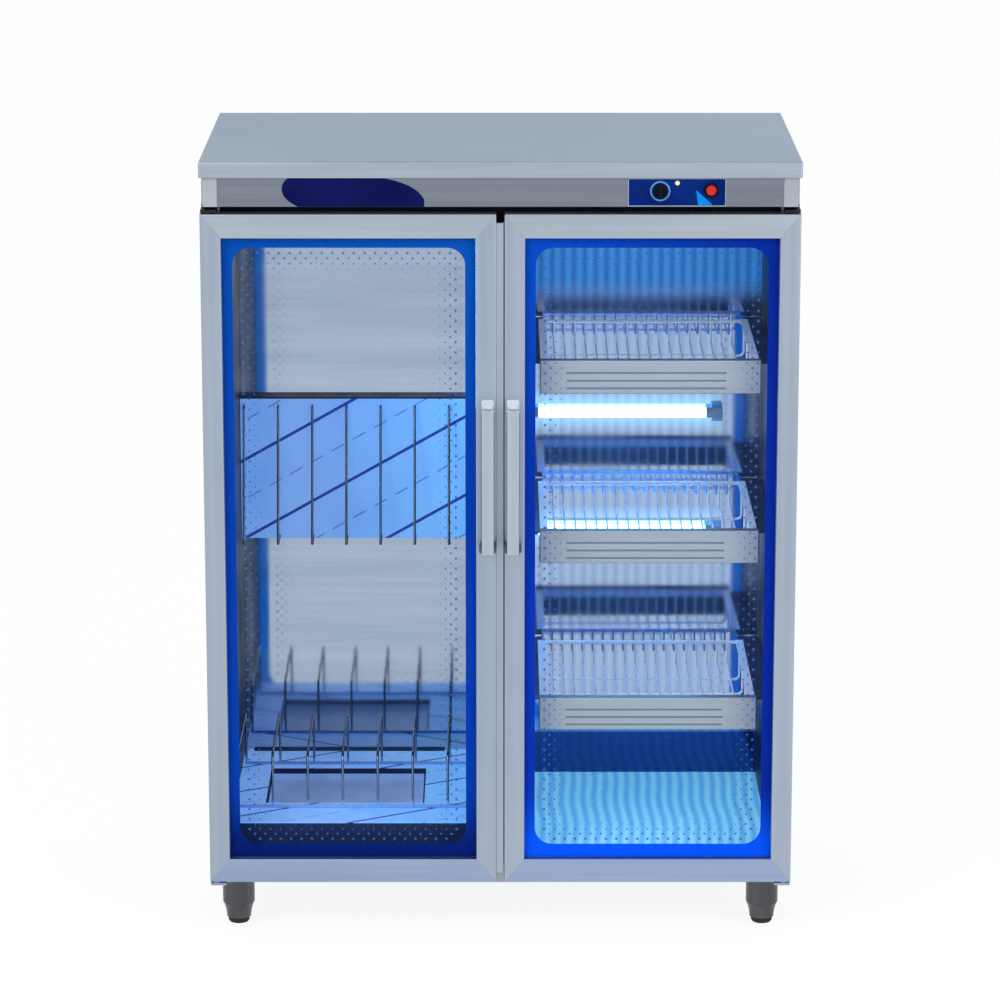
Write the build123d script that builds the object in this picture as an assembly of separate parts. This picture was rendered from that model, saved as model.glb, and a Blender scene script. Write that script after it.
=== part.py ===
from build123d import *
import os

# Two-door dish sterilizer cabinet: plate rack on the left, three pull-out wire baskets on the right.
# Millimetres. +Z is up, the doors face -Y.
# The origin is on the floor under the middle of the whole object.

# Cabinet shell
cabinet_width = 900.0
cabinet_depth = 500.0
cabinet_height = 1210.0
outer_sheet = 1.2
liner_sheet = 1.0
top_lip_height = 24.5
top_edge_radius = 3.0
top_overhang = 2.0
back_inset = 6.0
fold_return = 12.0
fold_flange = 20.0
side_wall_thickness = 28.0
back_wall_thickness = 47.0
base_height = 50.0
top_housing_height = 98.0
partition_thickness = 56.0
partition_offset = 8.0
vent_slot_count = 9
vent_slot_length = 46.0
vent_slot_width = 4.0
vent_slot_pitch = 12.0

# Levelling feet
foot_height = 72.0
foot_radius = 25.0
foot_tip_radius = 14.5
foot_bullet_height = 34.0
foot_pad_height = 9.0
foot_pad_radius = 16.5
foot_neck_radius = 19.0
foot_bulge_radius = 60.0
foot_stud_radius = 10.0
foot_stud_length = 28.0
foot_side_inset = 41.0
foot_edge_inset = 28.0

# Doors
door_thickness = 30.0
stile_width = 31.0
rail_width = 37.0
door_frame_wall = 2.0
door_edge_radius = 2.0
door_side_inset = 1.0
door_meeting_gap = 12.0
door_stand_off = 4.0
door_bottom_height = 84.0
shadow_gap = 10.5
mitre_gap = 0.1
glass_thickness = 5.0
glass_set_back = 8.0
glass_engagement = 8.0
glass_fit = 0.3
gasket_width = 10.0
gasket_hinge_inset = 15.0
gasket_meeting_inset = 3.0
gasket_rail_inset = 5.0
meeting_lip_reach = 10.5
meeting_lip_thickness = 2.5
meeting_lip_set_back = 3.0
meeting_lip_drop = 14.0

# Door pivots
pivot_inset = 10.0
pin_radius = 4.0
pin_engagement = 20.0
pin_collar_radius = 7.0
bracket_thickness = 4.0
bracket_width = 24.0
bracket_reach = 32.0
bracket_leg_height = 4.5

# Door handles
handle_reach = 36.0
handle_top = 848.0
handle_length = 242.0
handle_edge_inset = 13.0
grip_width = 19.0
grip_thickness = 9.0
post_base_width = 20.0
post_base_height = 26.0
post_tip_width = 12.0
post_tip_height = 16.0
grip_end_overlap = 2.0

# Control strip
fascia_height = 44.0
fascia_recess = 5.0
fascia_sheet = 1.2
end_cap_width = 22.5
end_cap_inset = 5.3
control_plate_width = 144.0
control_plate_height = 40.0
control_plate_inset = 187.0
control_plate_thickness = 1.2
knob_offset = -25.0
knob_drop = 20.2
knob_skirt_radius = 11.0
knob_skirt_thickness = 3.0
knob_depth = 13.0
knob_bar_width = 7.0
knob_stem_radius = 3.0
knob_stem_length = 12.0
timer_body_size = 36.0
timer_body_depth = 34.0
timer_neck_radius = 5.0
button_offset = 51.0
button_drop = 18.8
button_radius = 7.5
button_proud = 2.3
button_travel = 2.5
button_length = 11.0
bezel_radius = 11.0
bezel_thickness = 2.5
switch_barrel_radius = 9.3
switch_barrel_length = 30.0
lens_offset = 0.5
lens_drop = 8.0
lens_radius = 3.5
lens_stem_radius = 2.8
lens_stem_length = 8.0
lens_proud = 2.0

# Ultraviolet lamps
tube_radius = 8.0
tube_length = 288.0
tube_cap_length = 9.0
tube_cap_step = 0.4
tube_stand_off = 16.0
holder_length = 17.0
holder_height = 26.0
upper_lamp_height = 733.0
lower_lamp_height = 538.0
side_lamp_top_gap = 54.0
side_lamp_depth = 220.0

# Electrics in the top housing and at the back
ballast_length = 150.0
ballast_width = 40.0
ballast_height = 28.0
ballast_pitch = 204.0
ballast_ear = 12.0
ballast_ear_thickness = 2.0
gland_side_inset = 148.0
gland_height = 130.0
gland_radius = 9.0
gland_flange_radius = 13.0
gland_proud = 5.0
gland_bore_radius = 4.0

# Left compartment: false floor, drip tray, plate rack and board rest
false_floor_rise = 40.0
false_floor_front_gap = 23.0
false_floor_back_gap = 1.0
drain_notch_depth = 12.0
drain_notch_left_gap = 14.0
drain_notch_right_gap = 70.0
cutout_left_gap = 49.0
cutout_right_gap = 100.0
cutout_front_gap = 100.0
cutout_back_gap = 104.0
cutout_skirt = 20.0
cutout_ledge = 7.0
drip_tray_height = 10.0
drip_tray_play = 3.0
rack_wire_count = 8
rack_wire_radius = 2.0
rack_rod_radius = 2.5
rack_bend_radius = 12.0
rack_edge_gap = 7.5
plate_rack_height = 88.0
plate_rack_front_gap = 74.0
plate_rack_back_gap = 86.0
rest_panel_bottom = 525.0
rest_panel_height = 234.0
rest_panel_stand_off = 19.0
board_wire_top_drop = 14.0
board_wire_bottom_rise = 4.0
board_wire_top_reach = 10.0
board_wire_bottom_reach = 61.0
board_bend_radius = 6.0

# Right compartment: drawers and runners
drawer_names = ("lower", "middle", "upper")
lowest_drawer_height = 313.0
drawer_pitch = 266.0
drawer_set_back = 22.0
drawer_side_gap = 24.0
drawer_front_height = 52.0
drawer_front_thickness = 14.0
drawer_front_radius = 2.0
drawer_groove_count = 3
drawer_groove_left_margin = 41.0
drawer_groove_right_margin = 53.0
drawer_groove_height = 3.0
drawer_groove_depth = 0.8
drawer_groove_pitch = 12.0
drawer_groove_drop = 19.5
basket_back_gap = 39.0
basket_height = 44.0
basket_rise = 2.0
basket_side_inset = 9.0
basket_flange = 8.0
basket_bar_inside = 4.0
basket_bar_thickness = 2.0
basket_front_bar_thickness = 4.0
basket_front_bar_height = 12.0
basket_rim_radius = 3.0
basket_wire_count = 18
basket_wire_radius = 1.5
basket_wire_bend = 6.0
basket_wire_bite = 0.5
basket_hoop_count = 3
basket_hoop_radius = 2.0
basket_hoop_bend = 8.0
runner_sheet = 1.5
runner_overlap = 7.0
runner_web = 18.0
runner_front_gap = 8.0
runner_back_gap = 11.0

# Clearances
running_clearance = 0.05
slide_clearance = 0.3
fit_clearance = 0.1
cut_over = 1.0

# Places worked out from the driving dimensions
half_width = cabinet_width / 2
front_y = handle_reach - (cabinet_depth + handle_reach) / 2
back_y = front_y + cabinet_depth
carcass_front_y = front_y + door_thickness + door_stand_off
carcass_back_y = back_y - back_inset
side_x = half_width - top_overhang
inner_x = side_x - side_wall_thickness
inner_back_y = carcass_back_y - back_wall_thickness
floor_z = foot_height + base_height
ceiling_z = cabinet_height - top_housing_height
under_top_z = cabinet_height - outer_sheet
lip_bottom_z = cabinet_height - top_lip_height
fascia_bottom_z = lip_bottom_z - fascia_height
door_top_z = fascia_bottom_z - shadow_gap
door_left_x = -(half_width - door_side_inset)
door_right_x = -door_meeting_gap / 2
door_back_y = front_y + door_thickness
partition_left_x = partition_offset - partition_thickness / 2
partition_right_x = partition_offset + partition_thickness / 2
fascia_y = front_y + fascia_recess
plate_front_y = fascia_y - control_plate_thickness
control_plate_x = half_width - control_plate_inset
knob_x = control_plate_x + knob_offset
button_x = control_plate_x + button_offset
lens_x = control_plate_x + lens_offset
gland_x = side_x - gland_side_inset


def block(x0, x1, y0, y1, z0, z1):
    """Rectangular block between two corners."""
    return Pos((x0 + x1) / 2, (y0 + y1) / 2, (z0 + z1) / 2) * Box(x1 - x0, y1 - y0, z1 - z0)


def prism(plane, outline, length):
    """Closed outline on a plane, pushed out along the plane's normal."""
    face = make_face(Polyline(*outline, close=True))
    return extrude(plane * face, amount=length, dir=plane.z_dir)


def folded_outline(points, thickness):
    """Closed outline of a sheet folded along the points, with its thickness on the left of the path."""
    path = [Vector(*point) for point in points]
    normals = []
    for start, end in zip(path, path[1:]):
        run = (end - start).normalized()
        normals.append(Vector(-run.Y, run.X))
    inner = [path[0] + normals[0] * thickness]
    for corner, before, after in zip(path[1:-1], normals, normals[1:]):
        inner.append(corner + (before + after) * (thickness / (1 + before.dot(after))))
    inner.append(path[-1] + normals[-1] * thickness)
    return path + inner[::-1]


def folded_along_x(points, thickness, x0, x1):
    """Sheet folded in the depth-height plane and run across the width."""
    return prism(Plane.YZ.offset(x0), folded_outline(points, thickness), x1 - x0)


def folded_along_z(points, thickness, z0, z1):
    """Sheet folded in plan and run up the height."""
    return prism(Plane.XY.offset(z0), folded_outline(points, thickness), z1 - z0)


def upright(x, y, z0, z1, radius):
    """Vertical cylinder."""
    return Pos(x, y, (z0 + z1) / 2) * Cylinder(radius, z1 - z0)


def along_depth(x, z, y0, y1, radius):
    """Cylinder whose axis runs front to back."""
    return Pos(x, (y0 + y1) / 2, z) * Rot(90, 0, 0) * Cylinder(radius, y1 - y0)


def across(y, z, x0, x1, radius):
    """Cylinder whose axis runs across the width."""
    return Pos((x0 + x1) / 2, y, z) * Rot(0, 90, 0) * Cylinder(radius, x1 - x0)


def bent_wire(points, radius, bend):
    """Round wire bent along the points."""
    path = FilletPolyline(*points, radius=bend)
    return sweep(Plane(origin=path @ 0, z_dir=path % 0) * Circle(radius), path=path)


def mirrored(shape):
    """The same piece on the other side of the cabinet."""
    return mirror(shape, about=Plane.YZ)


def make_side_panel():
    """Left outer wall, folded in at the front and back, notched for the base pan."""
    flange_back_y = carcass_back_y - outer_sheet
    path = [
        (-side_x + fold_flange, flange_back_y),
        (-side_x, flange_back_y),
        (-side_x, carcass_front_y),
        (-inner_x - liner_sheet, carcass_front_y),
        (-inner_x - liner_sheet, carcass_front_y + fold_return),
    ]
    panel = folded_along_z(path, outer_sheet, foot_height, under_top_z)
    notch_x = -inner_x - liner_sheet - outer_sheet
    notch = block(
        notch_x - fit_clearance,
        -inner_x,
        carcass_front_y + outer_sheet,
        carcass_front_y + 2 * fold_return,
        foot_height - cut_over,
        floor_z,
    )
    return panel - notch


def make_back_panel():
    """Outer back sheet with cooling slots beside the lamp gear and a hole for the cord gland."""
    edge_x = side_x - outer_sheet
    y0 = carcass_back_y - outer_sheet
    panel = block(-edge_x, edge_x, y0, carcass_back_y, foot_height, under_top_z)
    slot_z = (ceiling_z + lip_bottom_z) / 2
    slot_sketch = SlotOverall(vent_slot_length, vent_slot_width, rotation=90)
    slot = extrude(Plane.XZ.offset(-y0) * slot_sketch, amount=2 * outer_sheet, both=True)
    first_x = -vent_slot_pitch * (vent_slot_count - 1) / 2
    for index in range(vent_slot_count):
        panel -= Pos(first_x + index * vent_slot_pitch, 0, slot_z) * slot
    hole_radius = gland_radius + fit_clearance
    return panel - along_depth(gland_x, gland_height, y0 - cut_over, carcass_back_y + cut_over, hole_radius)


def make_base_pan():
    """Bottom pan, folded up at the front and back to carry the inner floor."""
    pan_front_y = carcass_front_y + outer_sheet
    pan_back_y = carcass_back_y - 2 * outer_sheet
    shelf_z = floor_z - liner_sheet
    path = [
        (pan_front_y + fold_flange, shelf_z),
        (pan_front_y, shelf_z),
        (pan_front_y, foot_height),
        (pan_back_y, foot_height),
        (pan_back_y, shelf_z),
        (pan_back_y - fold_flange, shelf_z),
    ]
    edge_x = side_x - outer_sheet
    return folded_along_x(path, outer_sheet, -edge_x, edge_x)


def make_top_cover():
    """Lift-on worktop: a shallow tray turned over, with rounded upper edges."""
    outer = block(-half_width, half_width, front_y, back_y, lip_bottom_z, cabinet_height)
    rounded = outer.edges().group_by(Axis.Z)[-1] + outer.edges().filter_by(Axis.Z)
    outer = fillet(rounded, top_edge_radius)
    hollow = block(
        -half_width + outer_sheet,
        half_width - outer_sheet,
        front_y + outer_sheet,
        back_y - outer_sheet,
        lip_bottom_z - cut_over,
        under_top_z,
    )
    return outer - hollow


def make_liners():
    """Inner stainless walls, floor and ceiling."""
    liner_front_y = carcass_front_y + outer_sheet
    wide = inner_x + liner_sheet
    liner_back_y = inner_back_y + liner_sheet
    side = block(-wide, -inner_x, liner_front_y, inner_back_y, floor_z, ceiling_z)
    back = block(-wide, wide, inner_back_y, liner_back_y, floor_z, ceiling_z)
    floor_sheet = block(-wide, wide, liner_front_y, liner_back_y, floor_z - liner_sheet, floor_z)
    ceiling = block(-wide, wide, liner_front_y, liner_back_y, ceiling_z, ceiling_z + liner_sheet)
    return {
        "left_liner": side,
        "right_liner": mirrored(side),
        "back_liner": back,
        "floor_liner": floor_sheet,
        "ceiling_liner": ceiling,
    }


def make_partition():
    """Hollow wall between the compartments: one sheet folded round the front edge."""
    path = [
        (partition_left_x, inner_back_y),
        (partition_left_x, carcass_front_y),
        (partition_right_x, carcass_front_y),
        (partition_right_x, inner_back_y),
    ]
    return folded_along_z(path, liner_sheet, floor_z, ceiling_z)


def make_header_rail():
    """Dark channel over the door openings, seen only in the shadow gap."""
    rail_bottom = ceiling_z + liner_sheet
    rail_top = fascia_bottom_z + fascia_sheet
    path = [
        (carcass_front_y + fold_flange, rail_top),
        (carcass_front_y, rail_top),
        (carcass_front_y, rail_bottom),
        (carcass_front_y + fold_flange, rail_bottom),
    ]
    return folded_along_x(path, outer_sheet, -inner_x, inner_x)


def make_feet():
    """Fixed foot tubes, and the threaded tips that turn in them to level the cabinet."""
    tube = upright(0, 0, foot_bullet_height, foot_height, foot_radius)
    bore_top = foot_bullet_height + foot_stud_length + slide_clearance
    tube -= upright(0, 0, foot_bullet_height, bore_top, foot_stud_radius + running_clearance)
    shoulder_z = foot_bullet_height - slide_clearance
    stud_top = foot_bullet_height + foot_stud_length
    with BuildPart() as tip:
        with BuildSketch(Plane.XZ):
            with BuildLine():
                Polyline((0, 0), (foot_tip_radius, 0), (foot_pad_radius, foot_pad_height / 3),
                         (foot_pad_radius, foot_pad_height), (foot_neck_radius, foot_pad_height))
                RadiusArc((foot_neck_radius, foot_pad_height), (foot_radius, shoulder_z), foot_bulge_radius)
                Polyline((foot_radius, shoulder_z), (foot_stud_radius, shoulder_z),
                         (foot_stud_radius, stud_top), (0, stud_top), (0, 0))
            make_face()
        revolve(axis=Axis.Z)
    foot_x = half_width - foot_side_inset
    places = {
        "front_left": (-foot_x, carcass_front_y + foot_edge_inset),
        "front_right": (foot_x, carcass_front_y + foot_edge_inset),
        "rear_left": (-foot_x, carcass_back_y - foot_edge_inset),
        "rear_right": (foot_x, carcass_back_y - foot_edge_inset),
    }
    pieces = {"foot_tubes": [Pos(x, y, 0) * tube for x, y in places.values()]}
    for name, (x, y) in places.items():
        pieces["levelling_foot_" + name] = Pos(x, y, 0) * tip.part
    return pieces


def door_profile(width):
    """Hollow aluminium door section: u runs in from the door's edge, v runs back from its face."""
    outer = Pos(width / 2, door_thickness / 2) * RectangleRounded(width, door_thickness, door_edge_radius)
    groove_depth = glass_engagement + glass_fit
    groove_width = glass_thickness + 2 * glass_fit
    groove_v = glass_set_back + glass_thickness / 2
    groove = Pos(width - groove_depth / 2, groove_v) * Rectangle(groove_depth, groove_width)
    hollow_width = width - groove_depth - 2 * door_frame_wall
    hollow = Pos(door_frame_wall + hollow_width / 2, door_thickness / 2) * Rectangle(
        hollow_width, door_thickness - 2 * door_frame_wall)
    return outer - groove - hollow


def door_member(corner, inward, along, length, width, mate_width):
    """One mitred length of the door section, from the outer corner where it starts."""
    bar = extrude(Plane(origin=corner, x_dir=inward, z_dir=along) * door_profile(width), amount=length)
    reach = 2 * width
    slope = mate_width / width
    start_cut = [
        (-reach, mitre_gap - reach * slope),
        (reach, mitre_gap + reach * slope),
        (reach, mitre_gap - reach * slope),
    ]
    end_cut = [(u, length - s) for u, s in start_cut]
    mitre_plane = Plane(origin=corner, x_dir=inward, z_dir=Vector(*inward).cross(Vector(*along)))
    for outline in (start_cut, end_cut):
        wedge = make_face(Polyline(*outline, close=True))
        bar -= extrude(mitre_plane * wedge, amount=2 * door_thickness, both=True)
    return bar


def make_handle():
    """Left door's pull: a flat rounded grip on two flared posts."""
    grip_x = door_right_x - handle_edge_inset
    grip_back_y = front_y - handle_reach + grip_thickness
    handle_bottom = handle_top - handle_length
    post_length = front_y - grip_back_y
    posts = []
    for end_z, inward in ((handle_top, -1), (handle_bottom, 1)):
        base_z = end_z + inward * post_base_height / 2
        tip_z = end_z + inward * (post_base_height - post_tip_height / 2)
        base = Plane.XZ.offset(-front_y) * Pos(grip_x, base_z) * RectangleRounded(
            post_base_width, post_base_height, post_base_width / 4)
        tip = Plane.XZ.offset(-front_y + post_length) * Pos(grip_x, tip_z) * RectangleRounded(
            post_tip_width, post_tip_height, post_tip_width / 4)
        posts.append(loft([base, tip]))
    shoulder = post_base_height - post_tip_height - grip_end_overlap
    section = Pos(grip_x, grip_back_y - grip_thickness / 2) * RectangleRounded(
        grip_width, grip_thickness, grip_thickness / 3)
    grip_bottom = handle_bottom + shoulder
    grip = extrude(Plane.XY.offset(grip_bottom) * section, amount=handle_length - 2 * shoulder)
    ends = grip.edges().group_by(Axis.Z)
    return posts, fillet(ends[0] + ends[-1], grip_thickness / 4)


def make_left_door():
    """Mitred frame, glass, seal and handle of the left door."""
    width = door_right_x - door_left_x
    height = door_top_z - door_bottom_height
    right, left, up, down = (1, 0, 0), (-1, 0, 0), (0, 0, 1), (0, 0, -1)
    bottom_left = (door_left_x, front_y, door_bottom_height)
    bottom_right = (door_right_x, front_y, door_bottom_height)
    top_left = (door_left_x, front_y, door_top_z)
    top_right = (door_right_x, front_y, door_top_z)
    members = {
        "hinge_stile": door_member(bottom_left, right, up, height, stile_width, rail_width),
        "meeting_stile": door_member(top_right, left, down, height, stile_width, rail_width),
        "top_rail": door_member(top_left, down, right, width, rail_width, stile_width),
        "bottom_rail": door_member(bottom_right, up, left, width, rail_width, stile_width),
    }
    pivot_x = door_left_x + pivot_inset
    pivot_y = front_y + pivot_inset
    hole_radius = pin_radius + running_clearance
    depth = pin_engagement + cut_over
    holes = upright(pivot_x, pivot_y, door_top_z - depth, door_top_z + cut_over, hole_radius)
    low = door_bottom_height - cut_over
    holes += upright(pivot_x, pivot_y, low, door_bottom_height + depth, hole_radius)
    for name in ("hinge_stile", "top_rail", "bottom_rail"):
        members[name] = members[name] - holes
    glass_y = front_y + glass_set_back
    glass_x_inset = stile_width - glass_engagement
    glass_z_inset = rail_width - glass_engagement
    members["glass"] = block(
        door_left_x + glass_x_inset, door_right_x - glass_x_inset,
        glass_y, glass_y + glass_thickness,
        door_bottom_height + glass_z_inset, door_top_z - glass_z_inset)
    seal_x0 = door_left_x + gasket_hinge_inset
    seal_x1 = door_right_x - gasket_meeting_inset
    seal_z0 = door_bottom_height + gasket_rail_inset
    seal_z1 = door_top_z - gasket_rail_inset
    seal_y1 = carcass_front_y - slide_clearance
    seal = block(seal_x0, seal_x1, door_back_y, seal_y1, seal_z0, seal_z1)
    seal -= block(
        seal_x0 + gasket_width, seal_x1 - gasket_width,
        door_back_y - cut_over, seal_y1 + cut_over,
        seal_z0 + gasket_width, seal_z1 - gasket_width)
    members["gasket"] = seal
    members["handle_posts"], members["handle_grip"] = make_handle()
    return members


def make_meeting_lip():
    """Recessed strip on the left door that closes the gap between the two doors."""
    lip_y = front_y + meeting_lip_set_back
    return block(
        door_right_x - door_frame_wall, door_right_x + meeting_lip_reach,
        lip_y, lip_y + meeting_lip_thickness,
        door_bottom_height + meeting_lip_drop, door_top_z - meeting_lip_drop)


def make_pivots():
    """Hinge brackets on the cabinet's front edge and the collared pins that carry the doors."""
    pivot_x = door_left_x + pivot_inset
    pivot_y = front_y + pivot_inset
    collar = (shadow_gap - bracket_thickness - bracket_leg_height) - slide_clearance
    x0 = -side_x
    x1 = -side_x + bracket_width
    leg_y = carcass_front_y - bracket_thickness / 2
    brackets = []
    pins = []
    for door_end, outward in ((door_top_z, 1), (door_bottom_height, -1)):
        near = door_end + outward * (slide_clearance + collar)
        far = near + outward * bracket_thickness
        leg_end = far + outward * bracket_leg_height
        low = min(near, far)
        high = max(near, far)
        plate = block(x0, x1, carcass_front_y - bracket_reach, carcass_front_y, low, high)
        leg = block(x0, x1, leg_y, carcass_front_y, min(near, leg_end), max(near, leg_end))
        inner_end = door_end - outward * pin_engagement
        bore = upright(pivot_x, pivot_y, low - cut_over, high + cut_over, pin_radius + running_clearance)
        brackets.append(plate + leg - bore)
        pin = upright(pivot_x, pivot_y, min(far, inner_end), max(far, inner_end), pin_radius)
        washer_end = door_end + outward * slide_clearance
        pin += upright(pivot_x, pivot_y, min(near, washer_end), max(near, washer_end), pin_collar_radius)
        pins.append(pin)
    brackets += [mirrored(piece) for piece in brackets]
    pins += [mirrored(piece) for piece in pins]
    return {"hinge_brackets": brackets, "hinge_pins": pins}


def make_control_strip():
    """Fascia between its end caps, with the timer, lit power switch and lamp indicator."""
    knob_z = lip_bottom_z - knob_drop
    button_z = lip_bottom_z - button_drop
    lens_z = lip_bottom_z - lens_drop
    cap_outer_x = half_width - end_cap_inset
    cap_inner_x = cap_outer_x - end_cap_width
    fascia_edge_x = cap_inner_x - fit_clearance
    path = [
        (carcass_front_y - slide_clearance, fascia_bottom_z),
        (fascia_y, fascia_bottom_z),
        (fascia_y, lip_bottom_z),
        (fascia_y + fold_flange, lip_bottom_z),
    ]
    fascia = folded_along_x(path[::-1], fascia_sheet, -fascia_edge_x, fascia_edge_x)
    plate_z = (fascia_bottom_z + lip_bottom_z) / 2
    plate = block(
        control_plate_x - control_plate_width / 2, control_plate_x + control_plate_width / 2,
        plate_front_y, fascia_y,
        plate_z - control_plate_height / 2, plate_z + control_plate_height / 2)
    behind_y = fascia_y + fascia_sheet
    for x, z, radius in (
        (knob_x, knob_z, timer_neck_radius),
        (button_x, button_z, switch_barrel_radius),
        (lens_x, lens_z, lens_stem_radius),
    ):
        hole = along_depth(x, z, plate_front_y - cut_over, behind_y + cut_over, radius + fit_clearance)
        fascia -= hole
        plate -= hole
    cap = block(cap_inner_x, cap_outer_x, fascia_y - control_plate_thickness, carcass_front_y,
                fascia_bottom_z, lip_bottom_z)
    cap = fillet(cap.edges().filter_by(Axis.Z).group_by(Axis.Y)[0], door_edge_radius)
    half = timer_body_size / 2
    timer_back_y = behind_y + timer_body_depth
    timer = block(knob_x - half, knob_x + half, behind_y, timer_back_y, knob_z - half, knob_z + half)
    timer += along_depth(knob_x, knob_z, plate_front_y, behind_y, timer_neck_radius)
    stem_end_y = plate_front_y + knob_stem_length
    bore_radius = knob_stem_radius + running_clearance
    timer -= along_depth(knob_x, knob_z, plate_front_y - cut_over, stem_end_y + cut_over, bore_radius)
    skirt_y = plate_front_y - slide_clearance
    grip_y = skirt_y - knob_skirt_thickness
    knob = along_depth(knob_x, knob_z, grip_y, skirt_y, knob_skirt_radius)
    bar_outline = RectangleRounded(knob_bar_width, 2 * knob_skirt_radius, knob_bar_width / 2.2)
    bar = extrude(Plane.XZ.offset(-grip_y) * Pos(knob_x, knob_z) * bar_outline,
                  amount=knob_depth - knob_skirt_thickness, taper=4)
    knob = knob + bar + along_depth(knob_x, knob_z, skirt_y, stem_end_y, knob_stem_radius)
    bezel_y = plate_front_y - bezel_thickness
    housing = along_depth(button_x, button_z, bezel_y, plate_front_y, bezel_radius)
    housing = fillet(housing.edges().group_by(Axis.Y)[0], bezel_thickness / 2)
    housing += along_depth(button_x, button_z, plate_front_y, plate_front_y + switch_barrel_length,
                           switch_barrel_radius)
    button_front_y = bezel_y - button_proud
    button_back_y = button_front_y + button_length
    bore_end_y = button_back_y + button_travel + 2 * slide_clearance
    button_bore = button_radius + slide_clearance
    housing -= along_depth(button_x, button_z, bezel_y - cut_over, bore_end_y, button_bore)
    button = along_depth(button_x, button_z, button_front_y, button_back_y, button_radius)
    button = fillet(button.edges().group_by(Axis.Y)[0], button_proud / 2)
    lens = along_depth(lens_x, lens_z, plate_front_y - lens_proud, plate_front_y, lens_radius)
    lens = fillet(lens.edges().group_by(Axis.Y)[0], lens_proud * 0.8)
    lens += along_depth(lens_x, lens_z, plate_front_y, plate_front_y + lens_stem_length, lens_stem_radius)
    return {
        "control_fascia": fascia,
        "fascia_end_caps": [cap, mirrored(cap)],
        "control_plate": plate,
        "timer_body": timer,
        "timer_knob": knob,
        "switch_housing": housing,
        "power_button": button,
        "indicator_lens": lens,
    }


def make_lamps():
    """Germicidal tubes in their end holders: two on the back wall, one upright on the partition."""
    half = tube_length / 2
    tube = across(0, 0, -half, half, tube_radius)
    for end in (-1, 1):
        inner = end * (half - tube_cap_length)
        tube += across(0, 0, min(inner, end * half), max(inner, end * half), tube_radius + tube_cap_step)
    rise = holder_height / 2
    holder = block(half, half + holder_length, -rise, tube_stand_off, -rise, rise)
    rounded = holder.edges().filter_by(Axis.X).group_by(Axis.Y)[0]
    holder = fillet(rounded, holder_height / 3)
    fitting = [tube, holder, mirrored(holder)]
    tube_x = partition_right_x + holder_length + half + fit_clearance
    tube_y = inner_back_y - tube_stand_off
    places = [Pos(tube_x, tube_y, height) for height in (upper_lamp_height, lower_lamp_height)]
    upright_centre_z = ceiling_z - side_lamp_top_gap - half
    lamp_point = (partition_left_x - tube_stand_off, carcass_front_y + side_lamp_depth, upright_centre_z)
    places.append(Plane(origin=lamp_point, x_dir=(0, 0, 1), z_dir=(0, 1, 0)).location)
    return {
        "uv_tubes": [place * fitting[0] for place in places],
        "lamp_holders": [place * piece for place in places for piece in fitting[1:]],
    }


def make_electrics():
    """Lamp ballasts on the ceiling inside the top housing, and the gland for a mains lead at the back."""
    base_z = ceiling_z + liner_sheet
    case_y = (carcass_front_y + inner_back_y) / 2
    length = ballast_length / 2
    width = ballast_width / 2
    case = block(-length, length, -width, width, 0, ballast_height)
    case = fillet(case.edges().filter_by(Axis.X).group_by(Axis.Z)[-1], ballast_ear_thickness)
    ear_x = length + ballast_ear
    case += block(-ear_x, ear_x, -width / 2, width / 2, 0, ballast_ear_thickness)
    ballasts = [Pos((index - 1) * ballast_pitch, case_y, base_z) * case for index in range(3)]
    inside_y = carcass_back_y - outer_sheet - gland_proud
    outside_y = carcass_back_y + gland_proud
    gland = along_depth(gland_x, gland_height, inside_y, carcass_back_y, gland_radius)
    gland += along_depth(gland_x, gland_height, carcass_back_y, outside_y, gland_flange_radius)
    gland = fillet(gland.edges().group_by(Axis.Y)[-1], gland_proud / 2)
    gland -= along_depth(gland_x, gland_height, inside_y - cut_over, outside_y + cut_over, gland_bore_radius)
    return {"lamp_ballasts": ballasts, "cord_gland": gland}


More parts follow.
